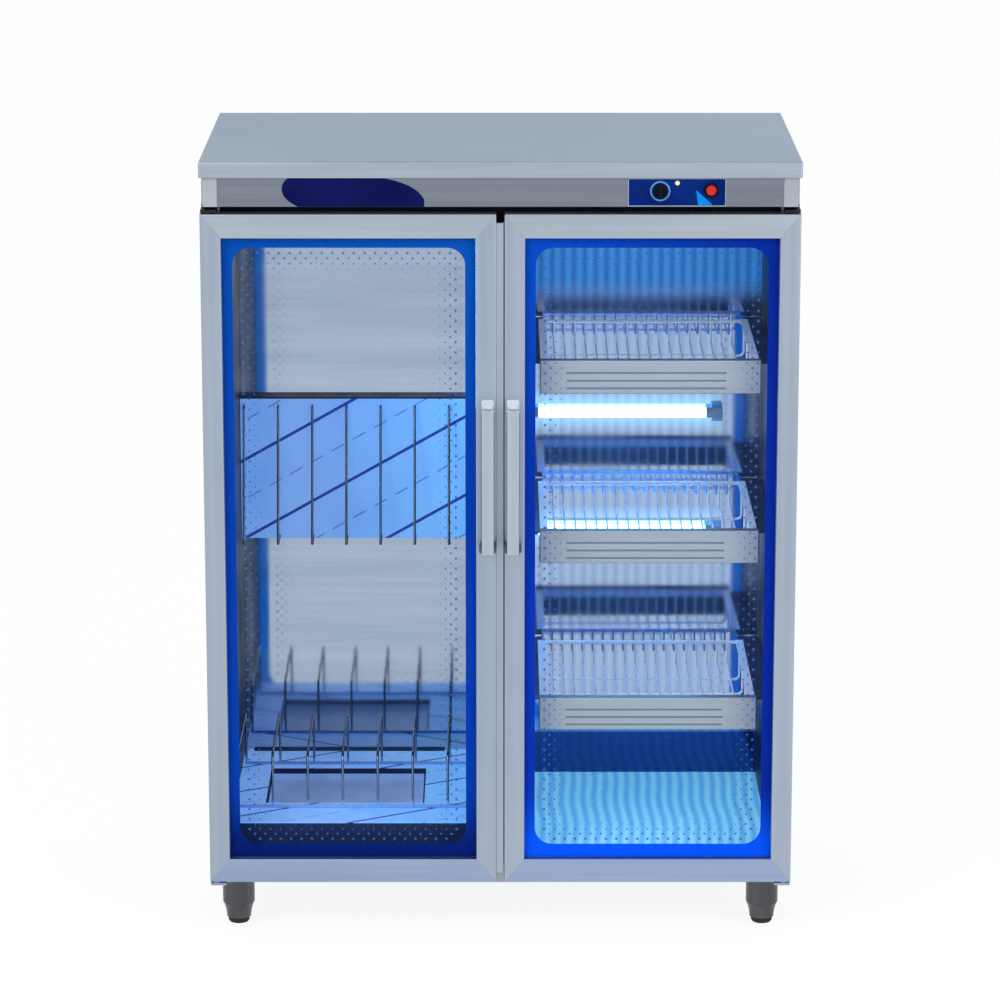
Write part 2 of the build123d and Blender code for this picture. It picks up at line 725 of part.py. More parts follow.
def make_left_fittings():
    """False floor over a drip tray, plate rack standing on it, and the board rest on the back wall."""
    floor_x0 = -inner_x + liner_sheet
    floor_x1 = partition_left_x - liner_sheet
    floor_y0 = carcass_front_y + false_floor_front_gap
    floor_y1 = inner_back_y - false_floor_back_gap
    top_z = floor_z + false_floor_rise
    plate = block(floor_x0, floor_x1, floor_y0, floor_y1, floor_z, top_z)
    plate -= block(
        floor_x0 + liner_sheet, floor_x1 - liner_sheet,
        floor_y0 + liner_sheet, floor_y1 - liner_sheet,
        floor_z - cut_over, top_z - liner_sheet)
    plate -= block(
        floor_x0 + drain_notch_left_gap, floor_x1 - drain_notch_right_gap,
        floor_y1 - drain_notch_depth, floor_y1 + cut_over,
        floor_z - cut_over, top_z + cut_over)
    cut_x0 = -inner_x + cutout_left_gap
    cut_x1 = partition_left_x - cutout_right_gap
    cut_y0 = floor_y0 + cutout_front_gap
    cut_y1 = floor_y1 - cutout_back_gap
    skirt_z = top_z - cutout_skirt
    ledge_z = skirt_z + liner_sheet
    skirt = block(
        cut_x0 - liner_sheet, cut_x1 + liner_sheet,
        cut_y0 - liner_sheet, cut_y1 + liner_sheet,
        skirt_z, top_z)
    well = block(cut_x0, cut_x1, cut_y0, cut_y1, ledge_z, top_z + cut_over)
    drain = block(
        cut_x0 + cutout_ledge, cut_x1 - cutout_ledge,
        cut_y0 + cutout_ledge, cut_y1 - cutout_ledge,
        skirt_z - cut_over, ledge_z + cut_over)
    plate = plate + skirt - well - drain
    tray_x0 = cut_x0 + drip_tray_play
    tray_x1 = cut_x1 - drip_tray_play
    tray_y0 = cut_y0 + drip_tray_play
    tray_y1 = cut_y1 - drip_tray_play
    tray_top = ledge_z + drip_tray_height
    tray = block(tray_x0, tray_x1, tray_y0, tray_y1, ledge_z, tray_top)
    tray -= block(
        tray_x0 + liner_sheet, tray_x1 - liner_sheet,
        tray_y0 + liner_sheet, tray_y1 - liner_sheet,
        ledge_z + liner_sheet, tray_top + cut_over)
    first_x = -inner_x + rack_edge_gap
    last_x = partition_left_x - rack_edge_gap
    wire_pitch = (last_x - first_x) / (rack_wire_count - 1)
    wire_xs = [first_x + index * wire_pitch for index in range(rack_wire_count)]
    leg_front_y = floor_y0 + plate_rack_front_gap
    leg_back_y = floor_y1 - plate_rack_back_gap
    rod_z = top_z + rack_rod_radius
    leg_z = top_z + 2 * rack_rod_radius
    crown_z = top_z + plate_rack_height
    rack = []
    for x in wire_xs:
        rack.append(bent_wire(
            [(x, leg_front_y, leg_z), (x, leg_front_y, crown_z),
             (x, leg_back_y, crown_z), (x, leg_back_y, leg_z)],
            rack_wire_radius, rack_bend_radius))
    rod_x0 = wire_xs[0] - rack_wire_radius
    rod_x1 = wire_xs[-1] + rack_wire_radius
    for y in (leg_front_y, leg_back_y):
        rack.append(across(y, rod_z, rod_x0, rod_x1, rack_rod_radius))
    panel_y = inner_back_y - rest_panel_stand_off
    panel_top = rest_panel_bottom + rest_panel_height
    panel_path = [
        (inner_back_y, panel_top),
        (panel_y, panel_top),
        (panel_y, rest_panel_bottom),
        (inner_back_y, rest_panel_bottom),
    ]
    panel = folded_along_x(panel_path, liner_sheet, floor_x0, floor_x1)
    wire_top = panel_top - board_wire_top_drop
    wire_bottom = rest_panel_bottom + board_wire_bottom_rise
    board_wires = []
    for x in wire_xs:
        board_wires.append(bent_wire(
            [(x, panel_y, wire_top), (x, panel_y - board_wire_top_reach, wire_top),
             (x, panel_y - board_wire_bottom_reach, wire_bottom), (x, panel_y, wire_bottom)],
            rack_wire_radius, board_bend_radius))
    return {
        "false_floor": plate,
        "drip_tray": tray,
        "plate_rack": rack,
        "rest_panel": panel,
        "board_rack": board_wires,
    }


def make_drawer(bottom_z):
    """Grooved front and welded wire basket of one drawer, closed."""
    x0 = partition_right_x + drawer_side_gap
    x1 = inner_x - drawer_side_gap
    y0 = carcass_front_y + drawer_set_back
    y1 = y0 + drawer_front_thickness
    top_z = bottom_z + drawer_front_height
    front = block(x0, x1, y0, y1, bottom_z, top_z)
    front = fillet(front.edges().group_by(Axis.Y)[0], drawer_front_radius)
    for index in range(drawer_groove_count):
        groove_z = top_z - drawer_groove_drop - index * drawer_groove_pitch
        front -= block(
            x0 + drawer_groove_left_margin, x1 - drawer_groove_right_margin,
            y0 - cut_over, y0 + drawer_groove_depth,
            groove_z - drawer_groove_height / 2, groove_z + drawer_groove_height / 2)
    wall_x0 = x0 + basket_side_inset
    wall_x1 = x1 - basket_side_inset
    base_z = bottom_z + basket_rise
    rim_z = base_z + basket_height
    end_y = inner_back_y - basket_back_gap
    bar_z = rim_z - basket_bar_thickness
    left_bar = block(
        wall_x0 - basket_flange, wall_x0 + basket_bar_inside, y1, end_y, bar_z, rim_z)
    right_bar = block(
        wall_x1 - basket_bar_inside, wall_x1 + basket_flange, y1, end_y, bar_z, rim_z)
    front_bar = block(
        wall_x0, wall_x1, y1, y1 + basket_front_bar_thickness, rim_z - basket_front_bar_height, rim_z)
    rim_y = end_y - basket_rim_radius
    rim_axis_z = rim_z - basket_rim_radius
    welded = [right_bar, front_bar, across(rim_y, rim_axis_z, wall_x0, wall_x1, basket_rim_radius)]
    hoop_z = base_z + basket_hoop_radius
    hoop_x0 = wall_x0 + basket_hoop_radius
    hoop_x1 = wall_x1 - basket_hoop_radius
    hoop_pitch = (end_y - y1) / (basket_hoop_count + 1)
    for index in range(basket_hoop_count):
        y = y1 + (index + 1) * hoop_pitch
        welded.append(bent_wire(
            [(hoop_x0, y, bar_z + basket_wire_bite), (hoop_x0, y, hoop_z),
             (hoop_x1, y, hoop_z), (hoop_x1, y, bar_z + basket_wire_bite)],
            basket_hoop_radius, basket_hoop_bend))
    wire_z = base_z + 2 * basket_hoop_radius + basket_wire_radius - basket_wire_bite
    wire_front_y = y1 + basket_front_bar_thickness / 2
    wire_pitch = (wall_x1 - wall_x0) / (basket_wire_count + 1)
    for index in range(basket_wire_count):
        x = wall_x0 + (index + 1) * wire_pitch
        welded.append(bent_wire(
            [(x, wire_front_y, rim_axis_z), (x, wire_front_y, wire_z),
             (x, rim_y, wire_z), (x, rim_y, rim_axis_z)],
            basket_wire_radius, basket_wire_bend))
    basket = left_bar + welded
    return front, basket


def make_runners(bottom_z):
    """Pair of angle runners under one basket's side bars."""
    leg_z = bottom_z + basket_rise + basket_height - basket_bar_thickness - slide_clearance
    y0 = carcass_front_y + drawer_set_back + drawer_front_thickness + runner_front_gap
    y1 = inner_back_y - runner_back_gap
    runner_leg = drawer_side_gap + basket_side_inset - basket_flange + runner_overlap
    path = [
        (inner_x - runner_leg, leg_z),
        (inner_x, leg_z),
        (inner_x, leg_z - runner_web),
    ]
    right = prism(Plane.XZ.offset(-y1), folded_outline(path[::-1], runner_sheet), y1 - y0)
    centre_x = (partition_right_x + inner_x) / 2
    left = mirror(right, about=Plane.YZ.offset(centre_x))
    return [left, right]


def make_right_fittings():
    """Three drawers on their runners."""
    pieces = {}
    runners = []
    for index, name in enumerate(drawer_names):
        bottom_z = lowest_drawer_height + index * drawer_pitch
        front, basket = make_drawer(bottom_z)
        pieces[name + "_drawer_front"] = front
        pieces[name + "_drawer_basket"] = basket
        runners += make_runners(bottom_z)
    pieces["drawer_runners"] = runners
    return pieces


def make_cabinet():
    """Every node of the cabinet by name."""
    left_side = make_side_panel()
    pieces = {
        "left_side_panel": left_side,
        "right_side_panel": mirrored(left_side),
        "back_panel": make_back_panel(),
        "base_pan": make_base_pan(),
        "top_cover": make_top_cover(),
        "partition": make_partition(),
        "header_rail": make_header_rail(),
    }
    pieces.update(make_liners())
    pieces.update(make_control_strip())
    pieces.update(make_pivots())
    pieces.update(make_lamps())
    pieces.update(make_electrics())
    pieces.update(make_left_fittings())
    pieces.update(make_right_fittings())
    pieces.update(make_feet())
    left_door = make_left_door()
    for name, piece in left_door.items():
        pieces["left_door_" + name] = piece
        if isinstance(piece, list):
            pieces["right_door_" + name] = [mirrored(solid) for solid in piece]
        else:
            pieces["right_door_" + name] = mirrored(piece)
    pieces["left_door_meeting_stile"] = left_door["meeting_stile"] + make_meeting_lip()
    return pieces


def write_nodes(pieces):
    """One STEP file for each node."""
    os.makedirs("parts", exist_ok=True)
    for name, piece in pieces.items():
        shapes = piece if isinstance(piece, list) else [piece]
        solids = [solid for shape in shapes for solid in shape.solids()]
        node = solids[0] if len(solids) == 1 else Compound(solids)
        export_step(node, os.path.join("parts", name + ".step"))


write_nodes(make_cabinet())
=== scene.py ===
import math

import bmesh
import bpy
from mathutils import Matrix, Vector


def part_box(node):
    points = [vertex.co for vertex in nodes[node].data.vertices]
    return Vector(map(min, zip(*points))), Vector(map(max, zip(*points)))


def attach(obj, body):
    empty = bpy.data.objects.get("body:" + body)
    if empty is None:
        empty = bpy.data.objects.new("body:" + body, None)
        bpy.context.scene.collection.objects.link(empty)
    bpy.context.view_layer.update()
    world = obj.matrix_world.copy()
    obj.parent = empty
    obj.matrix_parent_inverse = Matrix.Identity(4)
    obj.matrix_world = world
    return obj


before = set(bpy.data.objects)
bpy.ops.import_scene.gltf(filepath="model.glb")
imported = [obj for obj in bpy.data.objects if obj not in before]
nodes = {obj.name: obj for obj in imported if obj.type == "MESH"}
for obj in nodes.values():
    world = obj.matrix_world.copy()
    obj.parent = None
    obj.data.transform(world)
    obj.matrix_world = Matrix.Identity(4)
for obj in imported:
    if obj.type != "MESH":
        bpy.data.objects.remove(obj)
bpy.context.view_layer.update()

# Sizes in metres, in the cabinet's own frame
MM = 0.001

# Print on the inside of each door's glass
print_sight = 8 * MM
print_inset = 0.1 * MM
print_outer_radius = 0.4 * MM
print_gap = 0.03 * MM
print_thickness = 0.12 * MM
print_border_side = 16 * MM
print_border_top = 16 * MM
print_border_bottom = 21 * MM
print_corner_radius = 27 * MM
print_foot_height = 0.12
dot_row_pitch = 8 * MM
dot_pitch = 16 * MM
dot_radius = 2.7 * MM
dot_fade = 52 * MM
smallest_dot_share = 0.22

# Control strip
name_plate_left = -326 * MM
name_plate_drop = 0.3 * MM
name_plate_thickness = 1.0 * MM
name_plate_curves = (
    ((12.4, 0.0), (1.0, -3.5), (0.0, -17.5)),
    ((0.0, -17.5), (0.8, -33.0), (24.0, -43.4)),
    ((212.0, -43.4), (212.6, -38.0), (212.0, -32.6)),
    ((212.0, -32.6), (200.0, -8.0), (146.0, 0.0)))
name_plate_steps = 8
plate_rim_width = 1.1 * MM
plate_rim_lap = 0.05 * MM
plate_rim_rise = 0.4 * MM
plate_rim_outer_radius = 2.2 * MM
plate_rim_inner_radius = 1 * MM
knob_ring_outer = 15.2 * MM
knob_ring_inner = 12.6 * MM
knob_ring_steps = 48
plate_print_rise = 0.2 * MM
wedge_corners = ((100.5, 23.5), (103.6, 0.9), (125.4, 0.9))
fascia_rule_pitch = 2.8 * MM

# Dark pieces of painted shade at the pull ends, and back sheet screws
pull_shade_corners = ((0.1, 3.0), (3.2, 4.5), (3.8, 8.0), (2.6, 12.5), (0.1, 14.0))
pull_shade_set_back = 4 * MM
screw_inset = 14 * MM
screw_row_margin = 60 * MM
screw_columns = 6
screw_rows = 7
screw_head_radius = 4.2 * MM
screw_head_height = 2.4 * MM

# Where finishes change, each as the start and the end of the change
compartment_split = (0.0, 0.01)
partition_front = (-0.1975, -0.1965)
# Worktop, rail and bracket heights: where painted light and shade change tone
worktop_face = (1.2075, 1.2095)
rail_heights = (0.13, 1.08)
bracket_heights = (0.30, 0.90)
rack_rod_top = (0.171, 0.178)
drawer_groove_face = (-0.1757, -0.1753)
foot_pad_top = (0.0088, 0.0092)
wall_film_start = (0.90, 0.955)
# Top of the dark strip of painted shade at the foot of the right back wall
painted_shade_strip_top = (0.190, 0.196)
lamp_left_cap = (0.0615, 0.0625)
lamp_right_cap = (0.3315, 0.3325)
lamp_low_cap = (0.7785, 0.7795)
lamp_high_cap = (1.0485, 1.0495)

# Lamps, their glow painted on the wall, and the upright stripes of wall and floor
lamp_strength = 20.0
lamp_heights = (0.538, 0.733)
halo_reach = (0.006, 0.040)
halo_end = (0.33, 0.37)
column_pitch = 0.0175
floor_sway_rate = 26.0
floor_sway = 0.0022
wall_lean = -0.033
wall_waviness = 0.0004

# Slanting lines of the protective film
film_line_slope = 0.565
film_line_pitch = 0.130
film_dash_pitch = 0.034
# Span over which the film is painted lighter, as painted light
painted_light_span = (-0.30, -0.02)
film_edge_blend = 0.0004

# Studio
floor_reach = 40.0
floor_glow = 1.03
floor_glow_share = 0.85
room_level = 0.80
key_power = 95.0
fill_power = 60.0
softbox_size = 2.4
sensor_width = 36
focal_pixels = 4174.4
frame_pixels = 1000
camera_place = (-0.005, -6.3746, 2.1900)
camera_tilt = 0.2319
camera_shift = (0.0029, -0.03)

unlit = (0.0, 0.0, 0.0, 1.0)


def shade(red, green, blue):
    """A colour given as it looks on screen, 0 to 255, as the linear value that a shader takes."""
    linear = []
    for level in (red, green, blue):
        level = level / 255
        linear.append(level / 12.92 if level <= 0.04045 else ((level + 0.055) / 1.055) ** 2.4)
    return (*linear, 1.0)


class Finish:
    """One surface finish, put together node by node on a Principled shader."""

    def __init__(self, name):
        self.material = bpy.data.materials.new(name)
        self.material.use_nodes = True
        self.tree = self.material.node_tree
        self.tree.nodes.clear()
        self.output = self.tree.nodes.new("ShaderNodeOutputMaterial")
        self.shader = self.tree.nodes.new("ShaderNodeBsdfPrincipled")
        self.join(self.shader.outputs["BSDF"], self.output.inputs["Surface"])
        self.places = self.tree.nodes.new("ShaderNodeTexCoord").outputs["Object"]

    def join(self, source, target):
        self.tree.links.new(source, target)

    def set(self, **values):
        for name, value in values.items():
            self.shader.inputs[name.replace("_", " ").title().replace("Ior", "IOR")].default_value = value
        return self

    def stretched(self, scale):
        node = self.tree.nodes.new("ShaderNodeMapping")
        node.inputs["Scale"].default_value = scale
        self.join(self.places, node.inputs["Vector"])
        return node.outputs["Vector"]

    def noise(self, scale, stretch=(1, 1, 1), detail=3.0, roughness=0.55):
        node = self.tree.nodes.new("ShaderNodeTexNoise")
        node.inputs["Scale"].default_value = scale
        node.inputs["Detail"].default_value = detail
        node.inputs["Roughness"].default_value = roughness
        self.join(self.stretched(stretch), node.inputs["Vector"])
        return node.outputs["Fac"]

    def sum(self, kind, first, second=None, third=None):
        node = self.tree.nodes.new("ShaderNodeMath")
        node.operation = kind
        for index, value in enumerate((first, second, third)):
            if value is None:
                continue
            if isinstance(value, (int, float)):
                node.inputs[index].default_value = value
            else:
                self.join(value, node.inputs[index])
        return node.outputs[0]

    def axis(self, letter):
        node = self.tree.nodes.new("ShaderNodeSeparateXYZ")
        self.join(self.places, node.inputs[0])
        return node.outputs[letter]

    def ranged(self, source, low, high, start, end, smooth=False):
        node = self.tree.nodes.new("ShaderNodeMapRange")
        node.interpolation_type = "SMOOTHSTEP" if smooth else "LINEAR"
        self.join(source, node.inputs["Value"])
        for name, value in (("From Min", low), ("From Max", high), ("To Min", start), ("To Max", end)):
            node.inputs[name].default_value = value
        return node.outputs["Result"]

    def between(self, share, first, second):
        node = self.tree.nodes.new("ShaderNodeMix")
        node.data_type = "RGBA"
        self.join(share, node.inputs["Factor"])
        colours = [socket for socket in node.inputs if socket.type == "RGBA"]
        for socket, value in zip(colours, (first, second)):
            if isinstance(value, tuple):
                socket.default_value = value
            else:
                self.join(value, socket)
        return [socket for socket in node.outputs if socket.type == "RGBA"][0]

    def colour(self, source):
        self.join(source, self.shader.inputs["Base Color"])
        return self

    def gives_out(self, source):
        self.join(source, self.shader.inputs["Emission Color"])
        return self

    def ground(self, scale, stretch):
        """Fine grinding marks, and the share of pale to deep tone that they and slow clouds give."""
        marks = self.noise(scale, stretch, detail=4.0, roughness=0.7)
        clouds = self.noise(2.2, detail=2.0)
        mottle = self.sum("ADD", self.sum("MULTIPLY", marks, 0.6), self.sum("MULTIPLY", clouds, 0.4))
        return marks, self.ranged(mottle, 0.32, 0.68, 0.0, 1.0)

    def roughness(self, source):
        self.join(source, self.shader.inputs["Roughness"])
        return self

    def relief(self, source, depth, strength=1.0):
        node = self.tree.nodes.new("ShaderNodeBump")
        node.inputs["Strength"].default_value = strength
        node.inputs["Distance"].default_value = depth
        self.join(source, node.inputs["Height"])
        self.join(node.outputs["Normal"], self.shader.inputs["Normal"])
        return self


def brushed_metal(name, pale, deep, roughness, stretch):
    """Metal with fine parallel grinding marks; stretch is small along the marks."""
    finish = Finish(name)
    marks, share = finish.ground(60, stretch)
    finish.colour(finish.between(share, deep, pale))
    finish.roughness(finish.ranged(marks, 0.25, 0.75, roughness - 0.07, roughness + 0.07))
    finish.relief(marks, 0.00002, 0.35)
    return finish.set(metallic=1.0).material


def metal_with_painted_shading(name, heights, lower, upper, roughness, stretch):
    """Ground metal whose tone changes between two heights as painted light and shade; each tone is a pale and
    a deep colour.
    """
    finish = Finish(name)
    marks, share = finish.ground(60, stretch)
    climb = finish.ranged(finish.axis("Z"), *heights, 0.0, 1.0)
    tones = [finish.between(share, shade(*deep), shade(*pale)) for pale, deep in (lower, upper)]
    finish.colour(finish.between(climb, tones[0], tones[1]))
    finish.roughness(finish.ranged(marks, 0.25, 0.75, roughness - 0.07, roughness + 0.07))
    finish.relief(marks, 0.00002, 0.35)
    return finish.set(metallic=1.0).material


def moulded(name, pale, deep, roughness, coat=0.0, grain=900, shine=0.5):
    """Moulded plastic or rubber with a fine sparked texture."""
    finish = Finish(name)
    grit = finish.noise(grain, detail=2.0)
    clouds = finish.noise(14, detail=2.0)
    finish.colour(finish.between(finish.ranged(clouds, 0.3, 0.7, 0.0, 1.0), deep, pale))
    finish.roughness(finish.ranged(grit, 0.3, 0.7, roughness - 0.05, roughness + 0.06))
    finish.relief(grit, 0.00004, 0.25)
    return finish.set(coat_weight=coat, specular_ior_level=shine).material


def partition_steel(name):
    """Sheet painted dark on both sides as painted shade, plain satin steel on the front edge between the
    doors.
    """
    finish = Finish(name)
    marks = finish.noise(60, (1, 1, 0.03), detail=4.0, roughness=0.7)
    front = finish.ranged(finish.axis("Y"), *partition_front, 1.0, 0.0)
    painted_shade_sides = finish.between(marks, shade(48, 62, 98), shade(62, 76, 112))
    finish.colour(finish.between(front, painted_shade_sides, shade(164, 176, 192)))
    finish.roughness(finish.ranged(marks, 0.25, 0.75, 0.26, 0.40))
    finish.relief(marks, 0.00002, 0.35)
    return finish.set(metallic=1.0).material


def floor_wire(name):
    """Bright wire whose rods lying on the film are painted its blue, a painted reflection of the glowing
    film.
    """
    finish = Finish(name)
    marks = finish.noise(60, (1, 1, 0.1), detail=4.0, roughness=0.7)
    upright = finish.between(marks, shade(104, 114, 134), shade(150, 160, 178))
    # Painted reflection: the rods lying on the film are blue and not metallic
    lying = finish.between(marks, shade(112, 158, 226), shade(142, 184, 244))
    height = finish.ranged(finish.axis("Z"), *rack_rod_top, 0.0, 1.0)
    finish.colour(finish.between(height, lying, upright))
    finish.join(height, finish.shader.inputs["Metallic"])
    finish.roughness(finish.ranged(marks, 0.25, 0.75, 0.2, 0.34))
    finish.relief(marks, 0.00002, 0.3)
    return finish.material


def metal_with_painted_glow(name, pale, deep, roughness, glow):
    """Pale smooth metal with a painted glow that stands in for the light round it."""
    finish = Finish(name)
    clouds = finish.noise(30, detail=2.0)
    tone = finish.between(finish.ranged(clouds, 0.3, 0.7, 0.0, 1.0), deep, pale)
    finish.colour(tone).gives_out(tone)
    grit = finish.noise(700, detail=2.0)
    finish.roughness(finish.ranged(grit, 0.3, 0.7, roughness - 0.05, roughness + 0.06))
    finish.relief(grit, 0.00003, 0.2)
    return finish.set(emission_strength=glow).material


def liner_mirror(name, pale, deep, roughness, metal=1.0):
    """Stainless sheet with faint rolling marks and a slow waviness; less metal makes it duller."""
    finish = Finish(name)
    rolling = finish.noise(40, (0.04, 0.6, 0.6), detail=4.0, roughness=0.65)
    haze = finish.noise(5, detail=2.0)
    finish.colour(finish.between(finish.ranged(rolling, 0.35, 0.65, 0.0, 1.0), deep, pale))
    finish.roughness(finish.ranged(haze, 0.3, 0.7, roughness * 0.7, roughness * 1.4))
    finish.relief(finish.noise(3.0, detail=1.0), 0.0008, 0.35)
    return finish.set(metallic=metal, specular_ior_level=0.1).material


def back_wall_mirror(name):
    """Bright back wall: a plain mirror on the left; on the right, painted lamp light and glow, a strip of
    painted shade at the foot and blue film at the top.
    """
    finish = Finish(name)
    x, z = finish.axis("X"), finish.axis("Z")
    right = finish.ranged(x, *compartment_split, 0.0, 1.0)
    rolling = finish.noise(40, (0.03, 0.6, 0.6), detail=4.0, roughness=0.65)
    streaks = finish.ranged(rolling, 0.35, 0.65, 0.0, 1.0)
    plain = finish.between(streaks, shade(164, 175, 191), shade(180, 189, 203))
    # Right: steel painted pale blue as painted lamp light, in upright stripes, painted dark at the foot of
    # the wall as painted shade, under film at the top
    stripe_wave = finish.sum("SINE", finish.sum("MULTIPLY", x, 2 * math.pi / column_pitch))
    columns = finish.ranged(stripe_wave, -1.0, 1.0, 0.0, 1.0)
    painted_light = finish.between(columns, shade(154, 173, 206), shade(170, 189, 218))
    foot = finish.ranged(z, *painted_shade_strip_top, 1.0, 0.0)
    painted_light = finish.between(foot, painted_light, shade(36, 74, 132))
    film = finish.sum("MULTIPLY", right, finish.ranged(z, *wall_film_start, 0.0, 1.0, True))
    blue = finish.between(columns, shade(44, 124, 206), shade(84, 168, 238))
    finish.colour(finish.between(film, finish.between(right, plain, painted_light), blue))
    finish.join(finish.ranged(film, 0.0, 1.0, 1.0, 0.25), finish.shader.inputs["Metallic"])
    # Painted lamp glow: the wall glows near each lamp's height on the right
    halo = None
    for height in lamp_heights:
        off = finish.sum("ABSOLUTE", finish.sum("SUBTRACT", z, height))
        near = finish.ranged(off, *halo_reach, 1.0, 0.0, True)
        halo = near if halo is None else finish.sum("MAXIMUM", halo, near)
    halo = finish.sum("MULTIPLY", halo, finish.ranged(x, *halo_end, 1.0, 0.0, True))
    halo = finish.sum("MULTIPLY", halo, right)
    # Painted glow of the film at the top of the right wall
    painted_film_glow = finish.between(columns, shade(22, 76, 128), shade(36, 98, 152))
    glow = finish.between(film, unlit, painted_film_glow)
    finish.gives_out(finish.between(halo, glow, shade(84, 158, 204)))
    haze = finish.noise(5, detail=2.0)
    polish = finish.ranged(haze, 0.3, 0.7, 0.04, 0.09)
    finish.roughness(finish.sum("ADD", polish, finish.sum("MULTIPLY", film, 0.3)))
    lean = finish.sum("MULTIPLY", finish.sum("MULTIPLY", z, wall_lean), right)
    waves = finish.sum("MULTIPLY", finish.noise(3.0, detail=1.0), wall_waviness)
    finish.relief(finish.sum("ADD", lean, waves), 1.0)
    return finish.set(emission_strength=1.0).material


def cabinet_floor(name):
    """Steel floor: bare on the left under the false floor, under blue film on the right that glows with
    painted lamp light in upright stripes.
    """
    finish = Finish(name)
    right = finish.ranged(finish.axis("X"), *compartment_split, 0.0, 1.0)
    clouds = finish.noise(9, detail=2.0)
    swing = finish.sum("SINE", finish.sum("MULTIPLY", finish.axis("Y"), floor_sway_rate))
    sway = finish.sum("MULTIPLY", swing, floor_sway)
    stripe_wave = finish.sum("MULTIPLY", finish.sum("ADD", finish.axis("X"), sway), 2 * math.pi / column_pitch)
    columns = finish.ranged(finish.sum("SINE", stripe_wave), -1.0, 1.0, 0.0, 1.0)
    film = finish.between(columns, shade(108, 182, 228), shade(160, 222, 248))
    finish.colour(finish.between(right, shade(150, 156, 164), film))
    # Painted lamp light: the right floor film glows in the same stripes
    painted_light = finish.between(columns, shade(92, 176, 228), shade(132, 212, 244))
    finish.gives_out(finish.between(right, unlit, painted_light))
    finish.roughness(finish.ranged(clouds, 0.3, 0.7, 0.25, 0.4))
    finish.relief(clouds, 0.0006, 0.2)
    return finish.set(emission_strength=0.5, metallic=0.1, specular_ior_level=0.3).material


def film_sheet(name, rise_axis, start, low_edge, high_edge, glow):
    """Steel under blue protective film with slanting lines, a heavy one and a broken one by turns; the film
    is painted lighter towards the right and glows as painted lamp light, and its edges are painted dark as
    painted shade.
    """
    finish = Finish(name)
    rise = finish.sum("SUBTRACT", finish.axis(rise_axis), start[1])
    run = finish.sum("MULTIPLY", finish.sum("SUBTRACT", finish.axis("X"), start[0]), film_line_slope)
    climb = finish.sum("SUBTRACT", rise, run)
    turns = finish.sum("DIVIDE", climb, film_line_pitch)
    half_on = finish.sum("FRACT", finish.sum("ADD", turns, 0.5))
    heavy = finish.sum("ABSOLUTE", finish.sum("SUBTRACT", half_on, 0.5))
    light = finish.sum("ABSOLUTE", finish.sum("SUBTRACT", finish.sum("FRACT", turns), 0.5))
    heavy_line = finish.ranged(heavy, 0.016, 0.028, 1.0, 0.0, True)
    light_line = finish.ranged(light, 0.006, 0.016, 0.6, 0.0, True)
    breaks = finish.sum("FRACT", finish.sum("DIVIDE", finish.axis("X"), film_dash_pitch))
    light_line = finish.sum("MULTIPLY", light_line, finish.ranged(breaks, 0.55, 0.65, 1.0, 0.0, True))
    printed = finish.sum("MAXIMUM", heavy_line, light_line)
    clouds = finish.noise(7, detail=2.0)
    thickness = finish.ranged(clouds, 0.3, 0.7, 0.0, 1.0)
    cloudy = finish.between(thickness, shade(112, 160, 228), shade(132, 176, 238))
    # Painted light: the film is lighter towards the right
    painted_light = finish.ranged(finish.axis("X"), *painted_light_span, 0.0, 1.0)
    film = finish.between(finish.sum("MULTIPLY", painted_light, 0.7), cloudy, shade(104, 190, 255))
    inked = finish.between(printed, film, shade(24, 52, 140))
    # Painted shade: the film is dark below its low edge and above its high edge
    height = finish.axis("Z")
    below = finish.ranged(height, low_edge - film_edge_blend, low_edge, 1.0, 0.0)
    above = finish.ranged(height, high_edge, high_edge + film_edge_blend, 0.0, 1.0)
    edge = finish.sum("MAXIMUM", below, above)
    finish.colour(finish.between(edge, inked, shade(26, 40, 78)))
    # Painted lamp light: the film glows, except at its dark edges
    finish.gives_out(finish.between(edge, inked, unlit))
    wrinkles = finish.noise(36, (0.4, 1.0, 1.0), detail=3.0)
    finish.roughness(finish.ranged(wrinkles, 0.3, 0.7, 0.3, 0.45))
    finish.relief(wrinkles, 0.0006, 0.12)
    return finish.set(specular_ior_level=0.25, emission_strength=glow).material


def clear_pane(name):
    """Clear tempered glass with a faint blue cast and a wipe-marked gloss."""
    finish = Finish(name)
    wipes = finish.noise(9, (1.0, 1.0, 0.35), detail=3.0)
    finish.roughness(finish.ranged(wipes, 0.3, 0.7, 0.02, 0.07))
    finish.colour(finish.between(wipes, shade(205, 220, 240), shade(225, 235, 250)))
    clear = finish.tree.nodes.new("ShaderNodeBsdfTransparent")
    clear.inputs["Color"].default_value = (0.955, 0.978, 0.995, 1.0)
    edge = finish.tree.nodes.new("ShaderNodeFresnel")
    edge.inputs["IOR"].default_value = 1.08
    pane = finish.tree.nodes.new("ShaderNodeMixShader")
    finish.join(edge.outputs[0], pane.inputs[0])
    finish.join(clear.outputs[0], pane.inputs[1])
    finish.join(finish.shader.outputs[0], pane.inputs[2])
    finish.join(pane.outputs[0], finish.output.inputs["Surface"])
    return finish.material


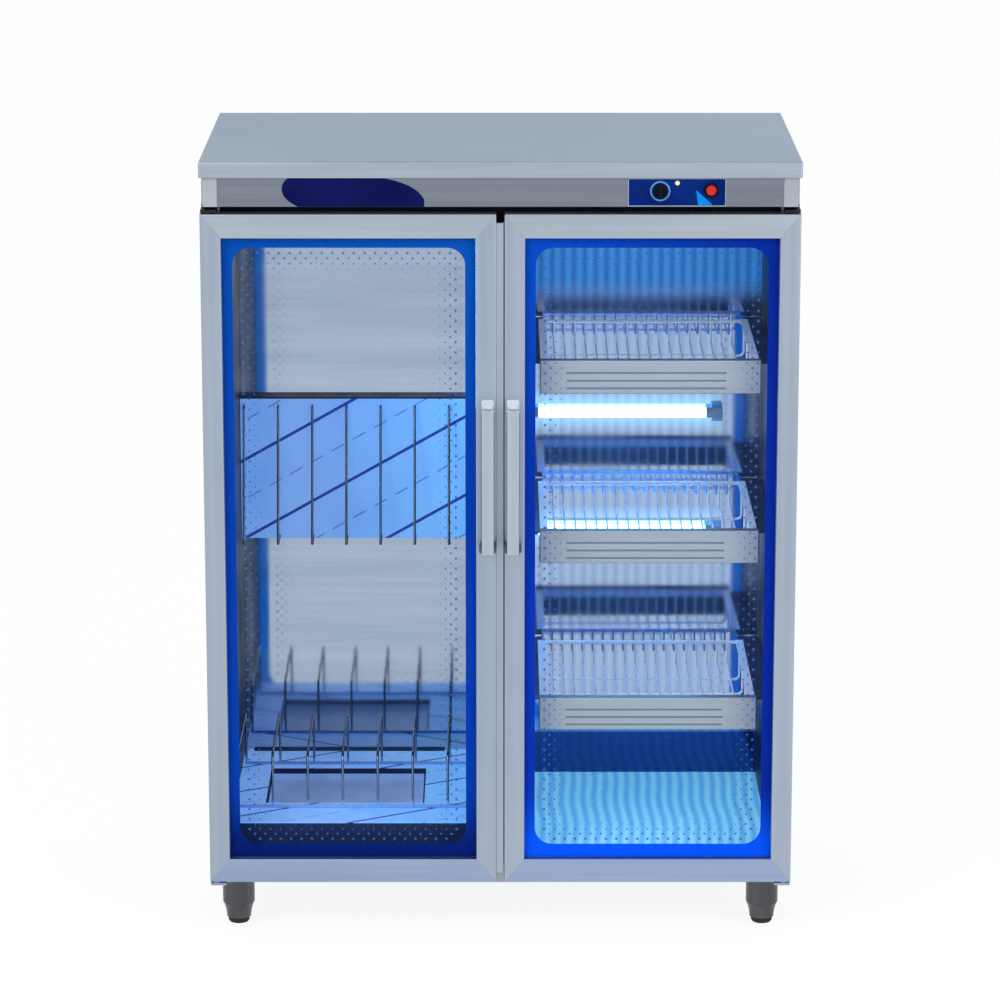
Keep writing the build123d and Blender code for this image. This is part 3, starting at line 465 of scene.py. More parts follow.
def border_print(name, edges, rows, inside_painted_glow):
    """Blue ink round the window: rows of left and right tones from the bottom up, which are painted light and
    shade on one ink; the inside face glows as painted light, the outside face faintly.
    """
    finish = Finish(name)
    left, right, low, high = edges
    across = finish.ranged(finish.axis("X"), left, right, 0.0, 1.0)
    tones = [finish.between(across, shade(*first), shade(*last)) for first, last in rows]
    lower = finish.ranged(finish.axis("Z"), low, low + print_foot_height, 0.0, 1.0, True)
    upper = finish.ranged(finish.axis("Z"), (low + high) / 2, high, 0.0, 1.0, True)
    ink = finish.between(upper, finish.between(lower, tones[0], tones[1]), tones[2])
    speckle = finish.noise(420, detail=1.0)
    finish.colour(finish.between(finish.ranged(speckle, 0.35, 0.65, 0.0, 0.12), ink, shade(0, 70, 190)))
    facing = finish.tree.nodes.new("ShaderNodeSeparateXYZ")
    finish.join(finish.tree.nodes.new("ShaderNodeTexCoord").outputs["Normal"], facing.inputs[0])
    inner = finish.ranged(facing.outputs["Y"], 0.4, 0.6, 0.0, 1.0)
    painted_outer_glow = finish.between(finish.ranged(speckle, 0.3, 0.7, 0.18, 0.26), unlit, ink)
    finish.gives_out(finish.between(inner, painted_outer_glow, shade(*inside_painted_glow)))
    finish.roughness(finish.ranged(speckle, 0.3, 0.7, 0.25, 0.4))
    return finish.set(emission_strength=1.0, specular_ior_level=0.02).material


def dot_print(name):
    """Paler blue ink of the dots that fade from the border into the window, with a faint painted glow."""
    finish = Finish(name)
    speckle = finish.noise(700, detail=1.0)
    finish.colour(finish.between(speckle, shade(40, 86, 178), shade(62, 108, 196)))
    finish.gives_out(finish.between(speckle, shade(30, 78, 180), shade(52, 104, 205)))
    finish.roughness(finish.ranged(speckle, 0.3, 0.7, 0.3, 0.45))
    return finish.set(emission_strength=0.1, alpha=0.5, specular_ior_level=0.05).material


def lamp_glass(name):
    """Lit germicidal tube with metal end caps."""
    finish = Finish(name)
    along = finish.axis("X")
    caps = finish.sum("MAXIMUM", finish.ranged(along, *lamp_left_cap, 1.0, 0.0),
                      finish.ranged(along, *lamp_right_cap, 0.0, 1.0))
    lying = finish.ranged(along, 0.0, 1 * MM, 0.0, 1.0)
    height = finish.axis("Z")
    upright_caps = finish.sum("MAXIMUM", finish.ranged(height, *lamp_low_cap, 1.0, 0.0),
                              finish.ranged(height, *lamp_high_cap, 0.0, 1.0))
    cap = finish.sum("ADD", finish.sum("MULTIPLY", caps, lying),
                     finish.sum("MULTIPLY", upright_caps, finish.sum("SUBTRACT", 1.0, lying)))
    streaks = finish.noise(30, (0.3, 1, 1), detail=2.0)
    finish.colour(finish.between(cap, shade(190, 230, 255), shade(170, 172, 175)))
    finish.gives_out(finish.between(cap, (0.12, 0.5, 1.0, 1.0), unlit))
    finish.roughness(finish.ranged(streaks, 0.3, 0.7, 0.12, 0.25))
    return finish.set(emission_strength=lamp_strength).material


def foot_finish(name):
    """Brushed foot over a black rubber pad."""
    finish = Finish(name)
    height = finish.axis("Z")
    pad = finish.ranged(height, *foot_pad_top, 1.0, 0.0)
    marks = finish.noise(70, (1, 1, 0.03), detail=4.0)
    metal = finish.between(marks, shade(62, 60, 62), shade(104, 105, 110))
    finish.colour(finish.between(pad, metal, shade(16, 16, 18)))
    finish.join(finish.ranged(pad, 0.0, 1.0, 1.0, 0.0), finish.shader.inputs["Metallic"])
    finish.roughness(finish.ranged(pad, 0.0, 1.0, 0.3, 0.75))
    finish.relief(marks, 0.00002, 0.3)
    return finish.material


def fascia_metal(name):
    """Grey control strip with fine ruled lines along its length."""
    finish = Finish(name)
    ruled = finish.sum("SINE", finish.sum("MULTIPLY", finish.axis("Z"), 2 * math.pi / fascia_rule_pitch))
    marks = finish.noise(80, (0.02, 1, 1), detail=4.0)
    tone = finish.sum("ADD", finish.ranged(ruled, -1.0, 1.0, 0.0, 0.55), finish.sum("MULTIPLY", marks, 0.5))
    finish.colour(finish.between(tone, shade(98, 106, 119), shade(136, 144, 157)))
    finish.roughness(finish.ranged(marks, 0.3, 0.7, 0.32, 0.46))
    finish.relief(ruled, 0.00006, 0.4)
    return finish.set(metallic=0.85).material


def drawer_face(name):
    """Pale satin drawer front, painted darker in its grooves and on its edges as painted shade."""
    finish = Finish(name)
    marks = finish.noise(70, (0.03, 1, 1), detail=4.0)
    face = finish.between(marks, shade(151, 159, 169), shade(170, 177, 186))
    painted_groove_shade = finish.ranged(finish.axis("Y"), *drawer_groove_face, 0.0, 1.0)
    finish.colour(finish.between(painted_groove_shade, face, shade(112, 121, 136)))
    finish.roughness(finish.ranged(marks, 0.3, 0.7, 0.38, 0.5))
    finish.relief(marks, 0.00002, 0.3)
    return finish.set(metallic=0.1).material


finishes = {
    # Worktop: its top face and front lip are given different tones as painted light and shade
    "top_cover": metal_with_painted_shading("satin_worktop", worktop_face, ((176, 184, 195), (158, 170, 183)),
                              ((164, 184, 203), (144, 165, 187)), 0.42, (0.03, 1, 1)),
    "shell": brushed_metal("satin_shell", shade(168, 181, 196), shade(150, 164, 181), 0.40, (1, 1, 0.03)),
    "back_panel": brushed_metal("plain_back_sheet", shade(170, 177, 184), shade(154, 161, 169), 0.50,
                                (1, 1, 0.06)),
    "liner": liner_mirror("bright_liner", shade(208, 212, 217), shade(192, 197, 203), 0.07),
    # Side liners and drawer runners: painted dark navy as painted shade
    "side_liner": liner_mirror("liner_in_painted_shade", shade(62, 70, 98), shade(50, 58, 86), 0.40, 0.3),
    "partition": partition_steel("partition_steel"),
    "lamp_side_liner": liner_mirror("lamp_side_liner_in_painted_shade", shade(22, 36, 74), shade(15, 27, 60), 0.36),
    "back_wall": back_wall_mirror("bright_back_wall"),
    "cabinet_floor": cabinet_floor("cabinet_floor"),
    "door_upright": brushed_metal("satin_stile", shade(172, 184, 200), shade(154, 167, 184), 0.38,
                                  (1, 1, 0.02)),
    # Door rails: bluer towards the bottom, paler towards the top, as painted light and shade
    "door_cross": metal_with_painted_shading("satin_rail", rail_heights, ((160, 177, 209), (142, 160, 192)),
                               ((181, 190, 201), (162, 174, 189)), 0.38, (0.02, 1, 1)),
    "glass": clear_pane("door_pane"),
    "gasket": moulded("grey_seal", shade(120, 124, 130), shade(96, 100, 106), 0.62),
    "grip": brushed_metal("pull_grip", shade(190, 200, 212), shade(170, 181, 195), 0.30, (1, 1, 0.02)),
    # Pull posts: painted near-white as a painted highlight
    "post": moulded("pull_post", shade(208, 214, 221), shade(194, 202, 211), 0.28, coat=0.3),
    "fascia": fascia_metal("ruled_fascia"),
    "cap": moulded("strip_end_cap", shade(154, 162, 172), shade(140, 149, 160), 0.42),
    "header": moulded("dark_header", shade(16, 16, 20), shade(8, 8, 11), 0.6, shine=0.1),
    "control_plate": moulded("blue_control_plate", shade(3, 36, 108), shade(0, 24, 92), 0.3,
                             grain=500, shine=0.04),
    "name_plate": moulded("blue_name_plate", shade(12, 18, 80), shade(6, 10, 66), 0.3, grain=500, shine=0.04),
    "black": moulded("black_moulding", shade(12, 18, 28), shade(5, 9, 16), 0.4, shine=0.06),
    "button": moulded("red_push", shade(206, 44, 36), shade(176, 24, 22), 0.25, shine=0.2),
    "lens": moulded("lamp_lens", shade(240, 238, 176), shade(226, 222, 150), 0.15, coat=0.6),
    # Hinge brackets: dark above, in the gap under the fascia, as painted shade
    "bracket": metal_with_painted_shading("hinge_steel", bracket_heights, ((158, 172, 198), (142, 156, 184)),
                            ((52, 54, 58), (34, 36, 40)), 0.42, (1, 0.05, 1)),
    "ballast": moulded("ballast_enamel", shade(222, 222, 218), shade(206, 206, 202), 0.4),
    "tube": lamp_glass("lit_tube"),
    "holder": moulded("lamp_holder", shade(170, 204, 244), shade(150, 188, 234), 0.35),
    # The films' last number is the strength of their painted lamp glow
    "floor_film": film_sheet("floor_film", "Y", (-0.420, -0.150), 0.1612, 1.0, 0.55),
    "panel_film": film_sheet("panel_film", "Z", (-0.410, 0.527), 0.400, 0.7560, 0.52),
    "wire": brushed_metal("rack_wire", shade(150, 158, 172), shade(110, 118, 134), 0.25, (1, 1, 0.1)),
    "rack_wire": floor_wire("floor_rack_wire"),
    # Basket wire and drip tray: painted glow standing in for the lamp light round them
    "basket_wire": metal_with_painted_glow("basket_wire", shade(222, 232, 250), shade(204, 216, 238), 0.3, 0.14),
    "tray": metal_with_painted_glow("drip_tray_steel", shade(158, 190, 238), shade(140, 174, 228), 0.35, 0.2),
    "drawer": drawer_face("drawer_face"),
    "foot": foot_finish("foot_steel"),
    "screw": brushed_metal("screw_steel", shade(182, 184, 188), shade(150, 153, 158), 0.3, (1, 1, 1)),
    "plate_rim": moulded("plate_rim", shade(150, 162, 182), shade(134, 147, 168), 0.35),
    "ring": moulded("dial_ring", shade(74, 138, 196), shade(58, 118, 178), 0.35),
    "corner": moulded("plate_corner_blue", shade(6, 132, 218), shade(0, 110, 200), 0.3,
                      grain=500, shine=0.04),
    # Pull end pieces: dark as painted shade
    "pull_shade": moulded("pull_end_painted_shade", shade(70, 80, 94), shade(52, 60, 74), 0.4, shine=0.3),
    "dots": dot_print("window_dots"),
}

worn_by = {
    "top_cover": "top_cover", "left_side_panel": "shell", "right_side_panel": "shell",
    "back_panel": "back_panel", "base_pan": "back_panel", "left_liner": "side_liner",
    "right_liner": "lamp_side_liner", "partition": "partition", "back_liner": "back_wall",
    "ceiling_liner": "liner", "floor_liner": "cabinet_floor", "header_rail": "header",
    "control_fascia": "fascia", "fascia_end_caps": "cap", "control_plate": "control_plate",
    "timer_body": "black", "switch_housing": "black", "indicator_lens": "lens",
    "lamp_ballasts": "ballast", "cord_gland": "black", "hinge_brackets": "bracket",
    "hinge_pins": "bracket", "uv_tubes": "tube", "lamp_holders": "holder",
    "false_floor": "floor_film", "drip_tray": "tray", "plate_rack": "rack_wire",
    "rest_panel": "panel_film", "board_rack": "wire", "drawer_runners": "side_liner",
    "foot_tubes": "foot", "timer_knob": "black", "power_button": "button",
}
for level in ("lower", "middle", "upper"):
    worn_by[level + "_drawer_front"] = "drawer"
    worn_by[level + "_drawer_basket"] = "basket_wire"
for corner in ("front_left", "front_right", "rear_left", "rear_right"):
    worn_by["levelling_foot_" + corner] = "foot"
for side in ("left", "right"):
    for piece, finish in (("hinge_stile", "door_upright"), ("meeting_stile", "door_upright"),
                          ("top_rail", "door_cross"), ("bottom_rail", "door_cross"), ("glass", "glass"),
                          ("gasket", "gasket"), ("handle_grip", "grip"), ("handle_posts", "post")):
        worn_by[f"{side}_door_{piece}"] = finish


def dress(node, material):
    """Gives a CAD node one finish."""
    slots = nodes[node].data.materials
    slots.clear()
    slots.append(material)


def rounded_rectangle(left, right, low, high, radius, steps=10):
    """Points round a rectangle with rounded corners, anticlockwise from the lower right corner."""
    points = []
    for centre_x, centre_z, begin in ((right - radius, low + radius, -90), (right - radius, high - radius, 0),
                                      (left + radius, high - radius, 90), (left + radius, low + radius, 180)):
        for step in range(steps + 1):
            angle = math.radians(begin + 90 * step / steps)
            points.append((centre_x + radius * math.cos(angle), centre_z + radius * math.sin(angle)))
    return points


def plate_between(name, outer, inner, front_y, back_y, material):
    """Flat plate in the front plane; where given, an inner outline of as many points is its opening."""
    mesh = bmesh.new()
    rings = []
    for outline in (outer, inner):
        if outline is None:
            continue
        for y in (front_y, back_y):
            rings.append([mesh.verts.new((x, y, z)) for x, z in outline])
    count = len(outer)
    for index in range(count):
        after = (index + 1) % count
        mesh.faces.new((rings[0][index], rings[0][after], rings[1][after], rings[1][index]))
        if inner is not None:
            mesh.faces.new((rings[2][after], rings[2][index], rings[3][index], rings[3][after]))
            mesh.faces.new((rings[0][after], rings[0][index], rings[2][index], rings[2][after]))
            mesh.faces.new((rings[1][index], rings[1][after], rings[3][after], rings[3][index]))
    if inner is None:
        mesh.faces.new(rings[0])
        mesh.faces.new(rings[1][::-1])
    bmesh.ops.recalc_face_normals(mesh, faces=mesh.faces)
    data = bpy.data.meshes.new(name)
    mesh.to_mesh(data)
    mesh.free()
    data.materials.append(material)
    piece = bpy.data.objects.new(name, data)
    bpy.context.scene.collection.objects.link(piece)
    return piece


def node_tree(name, inputs):
    """An empty geometry tree with named size inputs."""
    tree = bpy.data.node_groups.new(name, "GeometryNodeTree")
    tree.interface.new_socket("Geometry", in_out="INPUT", socket_type="NodeSocketGeometry")
    for label, kind in inputs:
        tree.interface.new_socket(label, in_out="INPUT", socket_type=kind)
    tree.interface.new_socket("Geometry", in_out="OUTPUT", socket_type="NodeSocketGeometry")
    return tree, tree.nodes.new("NodeGroupInput"), tree.nodes.new("NodeGroupOutput")


def grown(name, start_points, tree, values):
    """Runs a geometry tree once on a set of points and returns its result as a plain mesh object."""
    seed_mesh = bpy.data.meshes.new(name + "_seed")
    seed_mesh.from_pydata(start_points, [], [])
    seed = bpy.data.objects.new(name + "_seed", seed_mesh)
    bpy.context.scene.collection.objects.link(seed)
    modifier = seed.modifiers.new(name, "NODES")
    modifier.node_group = tree
    for item in tree.interface.items_tree:
        if item.item_type == "SOCKET" and item.in_out == "INPUT" and item.name in values:
            modifier[item.identifier] = values[item.name]
    bpy.context.view_layer.update()
    evaluated = seed.evaluated_get(bpy.context.evaluated_depsgraph_get())
    mesh = bpy.data.meshes.new_from_object(evaluated)
    seed.modifiers.remove(modifier)
    bpy.data.objects.remove(seed)
    mesh.name = name
    piece = bpy.data.objects.new(name, mesh)
    bpy.context.scene.collection.objects.link(piece)
    return piece


class Tree:
    """Short calls for putting a geometry tree together."""

    def __init__(self, name, inputs):
        self.tree, self.given, self.result = node_tree(name, inputs)

    def add(self, kind, **settings):
        node = self.tree.nodes.new(kind)
        for name, value in settings.items():
            setattr(node, name, value)
        return node

    def join(self, source, target):
        self.tree.links.new(source, target)

    def feed(self, value, socket):
        if isinstance(value, (int, float, tuple)):
            socket.default_value = value
        else:
            self.join(value, socket)

    def math(self, kind, first, second=0.0):
        node = self.add("ShaderNodeMath", operation=kind)
        self.feed(first, node.inputs[0])
        self.feed(second, node.inputs[1])
        return node.outputs[0]

    def vector(self, kind, first, second=None):
        node = self.add("ShaderNodeVectorMath", operation=kind)
        self.feed(first, node.inputs[0])
        if second is not None:
            self.feed(second, node.inputs[1])
        return node.outputs["Value"] if kind == "LENGTH" else node.outputs["Vector"]

    def parts(self, vector):
        node = self.add("ShaderNodeSeparateXYZ")
        self.join(vector, node.inputs[0])
        return node.outputs

    def whole(self, x, y, z):
        node = self.add("ShaderNodeCombineXYZ")
        for value, socket in zip((x, y, z), node.inputs):
            self.feed(value, socket)
        return node.outputs[0]


def window_dot_tree():
    """Staggered dots on a door window, largest at the printed border and fading towards the middle."""
    made = Tree("window_dot_tree", [
        ("Width", "NodeSocketFloat"), ("Height", "NodeSocketFloat"), ("Columns", "NodeSocketInt"),
        ("Rows", "NodeSocketInt"), ("Pitch", "NodeSocketFloat"), ("Row Pitch", "NodeSocketFloat"),
        ("Corner", "NodeSocketFloat"), ("Dot Radius", "NodeSocketFloat"), ("Fade", "NodeSocketFloat"),
        ("Thickness", "NodeSocketFloat"), ("Centre", "NodeSocketVector"), ("Ink", "NodeSocketMaterial")])
    given = made.given.outputs
    grid = made.add("GeometryNodeMeshGrid")
    made.join(given["Width"], grid.inputs["Size X"])
    made.join(given["Height"], grid.inputs["Size Y"])
    made.join(given["Columns"], grid.inputs["Vertices X"])
    made.join(given["Rows"], grid.inputs["Vertices Y"])
    place = made.add("GeometryNodeInputPosition").outputs[0]
    x, y, _ = made.parts(place)
    half_width = made.math("DIVIDE", given["Width"], 2.0)
    half_height = made.math("DIVIDE", given["Height"], 2.0)
    row = made.math("ROUND", made.math("DIVIDE", made.math("ADD", y, half_height), given["Row Pitch"]))
    step = made.math("MULTIPLY", made.math("MODULO", row, 2.0), made.math("DIVIDE", given["Pitch"], 2.0))
    shifted = made.add("GeometryNodeSetPosition")
    made.join(grid.outputs["Mesh"], shifted.inputs["Geometry"])
    made.join(made.whole(step, 0.0, 0.0), shifted.inputs["Offset"])
    half = made.whole(half_width, half_height, 0.0)
    inset = made.vector("SUBTRACT", half, made.whole(given["Corner"], given["Corner"], 0.0))
    beyond = made.vector("SUBTRACT", made.vector("ABSOLUTE", place), inset)
    corner_length = made.vector("LENGTH", made.vector("MAXIMUM", beyond, (0.0, 0.0, 0.0)))
    bx, by, _ = made.parts(beyond)
    flat = made.math("MINIMUM", made.math("MAXIMUM", bx, by), 0.0)
    depth = made.math("SUBTRACT", given["Corner"], made.math("ADD", corner_length, flat))
    share = made.math("SUBTRACT", 1.0, made.math("DIVIDE", depth, given["Fade"]))
    size = made.math("MULTIPLY", given["Dot Radius"], made.math("MAXIMUM", share, 0.0))
    inside = made.math("GREATER_THAN", depth, made.math("MULTIPLY", given["Dot Radius"], 0.9))
    large = made.math("GREATER_THAN", share, smallest_dot_share)
    dot = made.add("GeometryNodeMeshCylinder")
    dot.inputs["Vertices"].default_value = 8
    dot.inputs["Radius"].default_value = 1.0
    made.join(given["Thickness"], dot.inputs["Depth"])
    spread = made.add("GeometryNodeInstanceOnPoints")
    made.join(shifted.outputs[0], spread.inputs["Points"])
    made.join(made.math("MULTIPLY", inside, large), spread.inputs["Selection"])
    made.join(dot.outputs["Mesh"], spread.inputs["Instance"])
    made.join(made.whole(size, size, 1.0), spread.inputs["Scale"])
    solid = made.add("GeometryNodeRealizeInstances")
    made.join(spread.outputs[0], solid.inputs[0])
    stand = made.add("GeometryNodeTransform")
    made.join(solid.outputs[0], stand.inputs["Geometry"])
    stand.inputs["Rotation"].default_value = (math.pi / 2, 0, 0)
    made.join(given["Centre"], stand.inputs["Translation"])
    inked = made.add("GeometryNodeSetMaterial")
    made.join(stand.outputs[0], inked.inputs["Geometry"])
    made.join(given["Ink"], inked.inputs["Material"])
    made.join(inked.outputs[0], made.result.inputs[0])
    return made.tree


def screw_tree():
    """Low domed screw heads with a washer face, one on each point, turned to stand out from the sheet."""
    made = Tree("screw_tree", [
        ("Head Radius", "NodeSocketFloat"), ("Head Height", "NodeSocketFloat"), ("Turn", "NodeSocketVector"),
        ("Metal", "NodeSocketMaterial")])
    given = made.given.outputs
    washer = made.add("GeometryNodeMeshCylinder")
    washer.inputs["Vertices"].default_value = 20
    made.join(given["Head Radius"], washer.inputs["Radius"])
    made.join(made.math("MULTIPLY", given["Head Height"], 0.4), washer.inputs["Depth"])
    dome = made.add("GeometryNodeMeshCone")
    dome.inputs["Vertices"].default_value = 20
    made.join(made.math("MULTIPLY", given["Head Radius"], 0.5), dome.inputs["Radius Top"])
    made.join(made.math("MULTIPLY", given["Head Radius"], 0.85), dome.inputs["Radius Bottom"])
    made.join(made.math("MULTIPLY", given["Head Height"], 0.6), dome.inputs["Depth"])
    lifted = made.add("GeometryNodeTransform")
    made.join(dome.outputs["Mesh"], lifted.inputs["Geometry"])
    lift = made.math("MULTIPLY", given["Head Height"], 0.2)
    made.join(made.whole(0.0, 0.0, lift), lifted.inputs["Translation"])
    head = made.add("GeometryNodeJoinGeometry")
    made.join(washer.outputs["Mesh"], head.inputs[0])
    made.join(lifted.outputs[0], head.inputs[0])
    spread = made.add("GeometryNodeInstanceOnPoints")
    made.join(given["Geometry"], spread.inputs["Points"])
    made.join(head.outputs[0], spread.inputs["Instance"])
    made.join(given["Turn"], spread.inputs["Rotation"])
    solid = made.add("GeometryNodeRealizeInstances")
    made.join(spread.outputs[0], solid.inputs[0])
    metal = made.add("GeometryNodeSetMaterial")
    made.join(solid.outputs[0], metal.inputs["Geometry"])
    made.join(given["Metal"], metal.inputs["Material"])
    made.join(metal.outputs[0], made.result.inputs[0])
    return made.tree


def print_windows():
    """Blue printed border and fading dots on the inside of each door's glass."""
    tree = window_dot_tree()
    # Printed ink tones, with painted light and shade changing them up, across and between the doors
    ink_with_painted_light = {
        "left": (((0, 14, 84), (0, 18, 92)), ((0, 54, 152), (0, 52, 156)), ((0, 66, 150), (0, 72, 158))),
        "right": (((0, 82, 228), (0, 78, 224)), ((0, 46, 162), (0, 32, 138)), ((0, 66, 172), (0, 30, 128))),
    }
    # Painted glow of the print's inside face
    painted_inside_glow = (16, 116, 196)
    for side in ("left", "right"):
        glass_low, glass_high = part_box(f"{side}_door_glass")
        left, right = glass_low.x + print_sight, glass_high.x - print_sight
        low, high = glass_low.z + print_sight, glass_high.z - print_sight
        y0 = glass_high.y + print_gap
        y1 = y0 + print_thickness
        window = (left + print_border_side, right - print_border_side,
                  low + print_border_bottom, high - print_border_top)
        inner = rounded_rectangle(*window, print_corner_radius)
        outer = rounded_rectangle(left + print_inset, right - print_inset,
                                  low + print_inset, high - print_inset, print_outer_radius)
        ink = border_print(f"{side}_border_ink", (left, right, low, high), ink_with_painted_light[side], painted_inside_glow)
        border = plate_between(f"{side}_window_border", outer, inner, y0, y1, ink)
        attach(border, f"{side}_door")
        width, height = window[1] - window[0], window[3] - window[2]
        columns = int(width / dot_pitch) + 1
        rows = int(height / dot_row_pitch) + 1
        grid_width = (columns - 1) * dot_pitch
        grid_height = (rows - 1) * dot_row_pitch
        centre = ((window[0] + window[1]) / 2, (y0 + y1) / 2, (window[2] + window[3]) / 2)
        dots = grown(f"{side}_window_dots", [(0, 0, 0)], tree, {
            "Width": grid_width, "Height": grid_height, "Columns": columns, "Rows": rows,
            "Pitch": dot_pitch, "Row Pitch": dot_row_pitch, "Corner": print_corner_radius,
            "Dot Radius": dot_radius, "Fade": dot_fade, "Thickness": print_thickness,
            "Centre": centre, "Ink": finishes["dots"]})
        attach(dots, f"{side}_door")


def trim_control_strip():
    """Bare blue name plate, the control plate's rim and wedge, and the ring round the timer knob."""
    fascia_low, fascia_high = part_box("control_fascia")
    plate_low, plate_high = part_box("control_plate")
    face_y = fascia_low.y
    low, high = plate_low.z, plate_high.z
    outline = []
    for begin, bend, end in name_plate_curves:
        for step in range(name_plate_steps + 1):
            share = step / name_plate_steps
            weights = ((1 - share) ** 2, 2 * share * (1 - share), share ** 2)
            x, z = (sum(weight * place[axis] for weight, place in zip(weights, (begin, bend, end)))
                    for axis in (0, 1))
            point = (name_plate_left + x * MM, fascia_high.z - name_plate_drop + z * MM)
            if not outline or point != outline[-1]:
                outline.append(point)
    name_plate = plate_between("bare_name_plate", outline, None, face_y - name_plate_thickness, face_y,
                               finishes["name_plate"])
    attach(name_plate, "cabinet")
    rim, lap = plate_rim_width, plate_rim_lap
    outer = rounded_rectangle(plate_low.x - rim, plate_high.x + rim, low - rim, high + rim,
                              plate_rim_outer_radius)
    inner = rounded_rectangle(plate_low.x + lap, plate_high.x - lap, low + lap, high - lap,
                              plate_rim_inner_radius)
    frame_piece = plate_between("control_plate_rim", outer, inner, plate_low.y - plate_rim_rise, face_y,
                                finishes["plate_rim"])
    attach(frame_piece, "cabinet")
    knob_low, knob_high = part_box("timer_knob")
    knob_x, knob_z = (knob_low.x + knob_high.x) / 2, (knob_low.z + knob_high.z) / 2
    rings = []
    for size in (knob_ring_outer, knob_ring_inner):
        angles = [2 * math.pi * step / knob_ring_steps for step in range(knob_ring_steps)]
        rings.append([(knob_x + size * math.cos(angle), knob_z + size * math.sin(angle)) for angle in angles])
    print_y = plate_low.y - plate_print_rise
    wedge = [(plate_low.x + x * MM, plate_low.z + z * MM) for x, z in wedge_corners]
    corner = plate_between("control_plate_wedge", wedge, None, print_y, plate_low.y, finishes["corner"])
    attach(corner, "cabinet")
    ring = plate_between("knob_ring", rings[0], rings[1], print_y, plate_low.y, finishes["ring"])
    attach(ring, "cabinet")


def shade_pull_ends():
    """Dark pieces at the lower end of each pull, painted shade where it meets the door."""
    for side in ("left", "right"):
        low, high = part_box(f"{side}_door_handle_grip")
        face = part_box(f"{side}_door_meeting_stile")[0].y
        for hand, edge, away in (("outer", low.x, -1), ("inner", high.x, 1)):
            outline = [(edge + away * x * MM, low.z + z * MM) for x, z in pull_shade_corners]
            pull_shade = plate_between(f"{side}_pull_end_shade_{hand}", outline, None, low.y + pull_shade_set_back, face,
                                 finishes["pull_shade"])
            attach(pull_shade, f"{side}_door")


def fix_screws():
    """Screws round the edge of the back sheet."""
    tree = screw_tree()
    back_low, back_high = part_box("back_panel")
    y = back_high.y
    points = []
    width = back_high.x - back_low.x - 2 * screw_inset
    height = back_high.z - back_low.z - screw_row_margin
    columns = [back_low.x + screw_inset + width * step / (screw_columns - 1) for step in range(screw_columns)]
    rows = [back_low.z + screw_inset + height * step / (screw_rows - 1) for step in range(screw_rows)]
    for x in columns:
        points += [(x, y, rows[0]), (x, y, rows[-1])]
    for z in rows[1:-1]:
        points += [(columns[0], y, z), (columns[-1], y, z)]
    screws = grown("back_panel_screws", points, tree, {
        "Head Radius": screw_head_radius, "Head Height": screw_head_height, "Turn": (-math.pi / 2, 0, 0),
        "Metal": finishes["screw"]})
    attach(screws, "cabinet")


def seen_rays(tree):
    """An output that is 1 for what lens, gloss and glass look at, and 0 for light on the object."""
    path = tree.nodes.new("ShaderNodeLightPath")
    seen = path.outputs["Is Camera Ray"]
    for kind in ("Is Glossy Ray", "Is Transmission Ray"):
        either = tree.nodes.new("ShaderNodeMath")
        either.operation = "MAXIMUM"
        tree.links.new(seen, either.inputs[0])
        tree.links.new(path.outputs[kind], either.inputs[1])
        seen = either.outputs[0]
    return seen


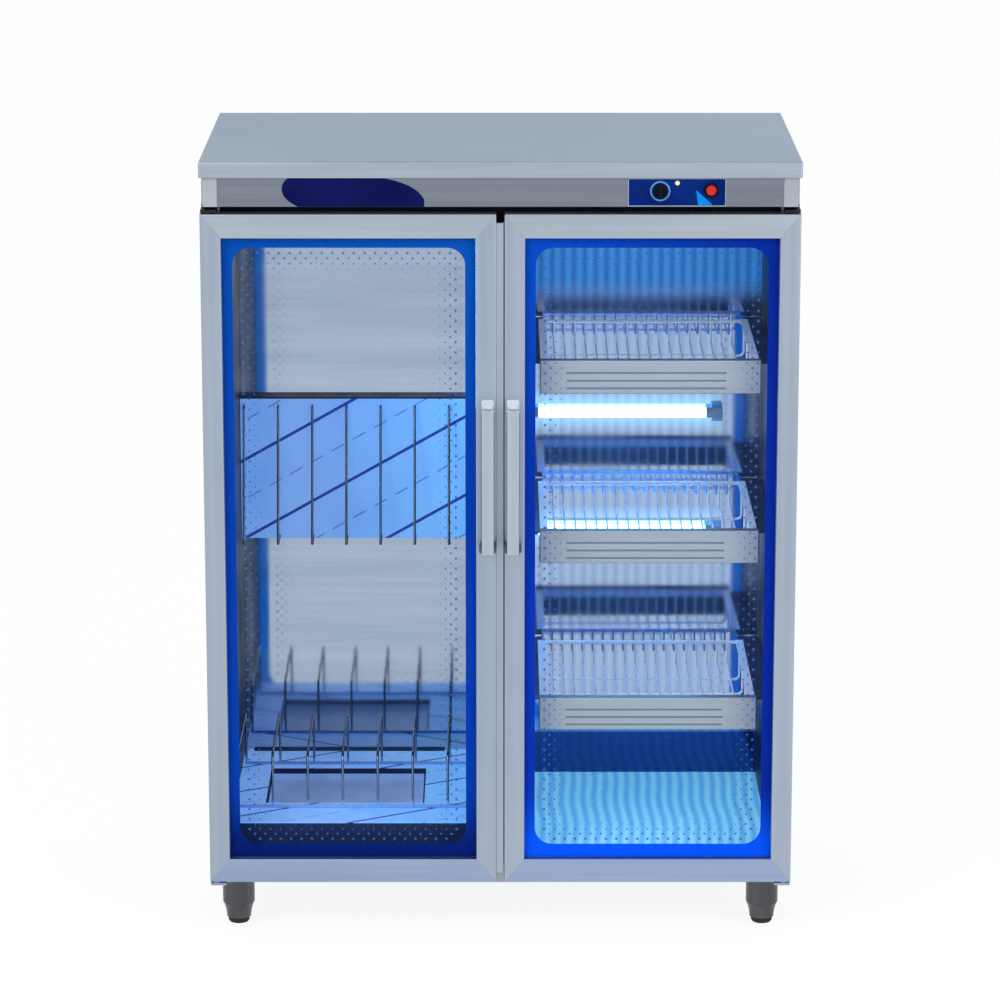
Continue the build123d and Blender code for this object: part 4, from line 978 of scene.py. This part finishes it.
def set_stage():
    """Pale floor that shows white to the lens and to gloss, and keeps the cabinet's shadow."""
    mesh = bpy.data.meshes.new("studio_floor")
    corners = [(x * floor_reach, y * floor_reach, 0) for x, y in ((-1, -1), (1, -1), (1, 1), (-1, 1))]
    mesh.from_pydata(corners, [], [(0, 1, 2, 3)])
    floor = bpy.data.objects.new("studio_floor", mesh)
    bpy.context.scene.collection.objects.link(floor)
    material = bpy.data.materials.new("studio_floor")
    material.use_nodes = True
    tree = material.node_tree
    tree.nodes.clear()
    output = tree.nodes.new("ShaderNodeOutputMaterial")
    paper = tree.nodes.new("ShaderNodeBsdfDiffuse")
    paper.inputs["Color"].default_value = (0.86, 0.86, 0.86, 1)
    glow = tree.nodes.new("ShaderNodeEmission")
    glow.inputs["Strength"].default_value = floor_glow
    share = tree.nodes.new("ShaderNodeMath")
    share.operation = "MULTIPLY"
    tree.links.new(seen_rays(tree), share.inputs[0])
    share.inputs[1].default_value = floor_glow_share
    mix = tree.nodes.new("ShaderNodeMixShader")
    tree.links.new(share.outputs[0], mix.inputs[0])
    tree.links.new(paper.outputs[0], mix.inputs[1])
    tree.links.new(glow.outputs[0], mix.inputs[2])
    tree.links.new(mix.outputs[0], output.inputs[0])
    mesh.materials.append(material)


def set_light():
    """White room and two large soft lamps at a plain level."""
    scene = bpy.context.scene
    world = bpy.data.worlds.new("studio")
    scene.world = world
    world.use_nodes = True
    tree = world.node_tree
    tree.nodes.clear()
    output = tree.nodes.new("ShaderNodeOutputWorld")
    room = tree.nodes.new("ShaderNodeBackground")
    room.inputs["Color"].default_value = (1, 1, 1, 1)
    room.inputs["Strength"].default_value = room_level
    white = tree.nodes.new("ShaderNodeBackground")
    white.inputs["Strength"].default_value = 1.0
    mix = tree.nodes.new("ShaderNodeMixShader")
    tree.links.new(seen_rays(tree), mix.inputs[0])
    tree.links.new(room.outputs[0], mix.inputs[1])
    tree.links.new(white.outputs[0], mix.inputs[2])
    tree.links.new(mix.outputs[0], output.inputs[0])
    for name, place, aim, power in (("key_softbox", (-2.6, -3.4, 3.2), (0, 0, 0.7), key_power),
                                    ("fill_softbox", (3.0, -3.0, 2.2), (0, 0, 0.6), fill_power)):
        lamp = bpy.data.lights.new(name, "AREA")
        lamp.shape = "SQUARE"
        lamp.size = softbox_size
        lamp.energy = power
        holder = bpy.data.objects.new(name, lamp)
        holder.location = place
        holder.rotation_euler = (Vector(aim) - Vector(place)).to_track_quat("-Z", "Y").to_euler()
        scene.collection.objects.link(holder)


def set_camera():
    """The photograph's viewpoint, from a camera fitted to the cabinet's corners."""
    lens = bpy.data.cameras.new("front_view")
    lens.sensor_width = sensor_width
    lens.lens = sensor_width * focal_pixels / frame_pixels
    lens.shift_x, lens.shift_y = camera_shift
    lens.clip_end = 200
    lens.dof.use_dof = False
    camera = bpy.data.objects.new("front_view", lens)
    camera.location = camera_place
    camera.rotation_euler = (math.pi / 2 - camera_tilt, 0, 0)
    bpy.context.scene.collection.objects.link(camera)
    bpy.context.scene.camera = camera


for node, finish in worn_by.items():
    dress(node, finishes[finish])
print_windows()
trim_control_strip()
shade_pull_ends()
fix_screws()
set_stage()
set_light()
set_camera()
bpy.context.scene.view_settings.view_transform = "Standard"
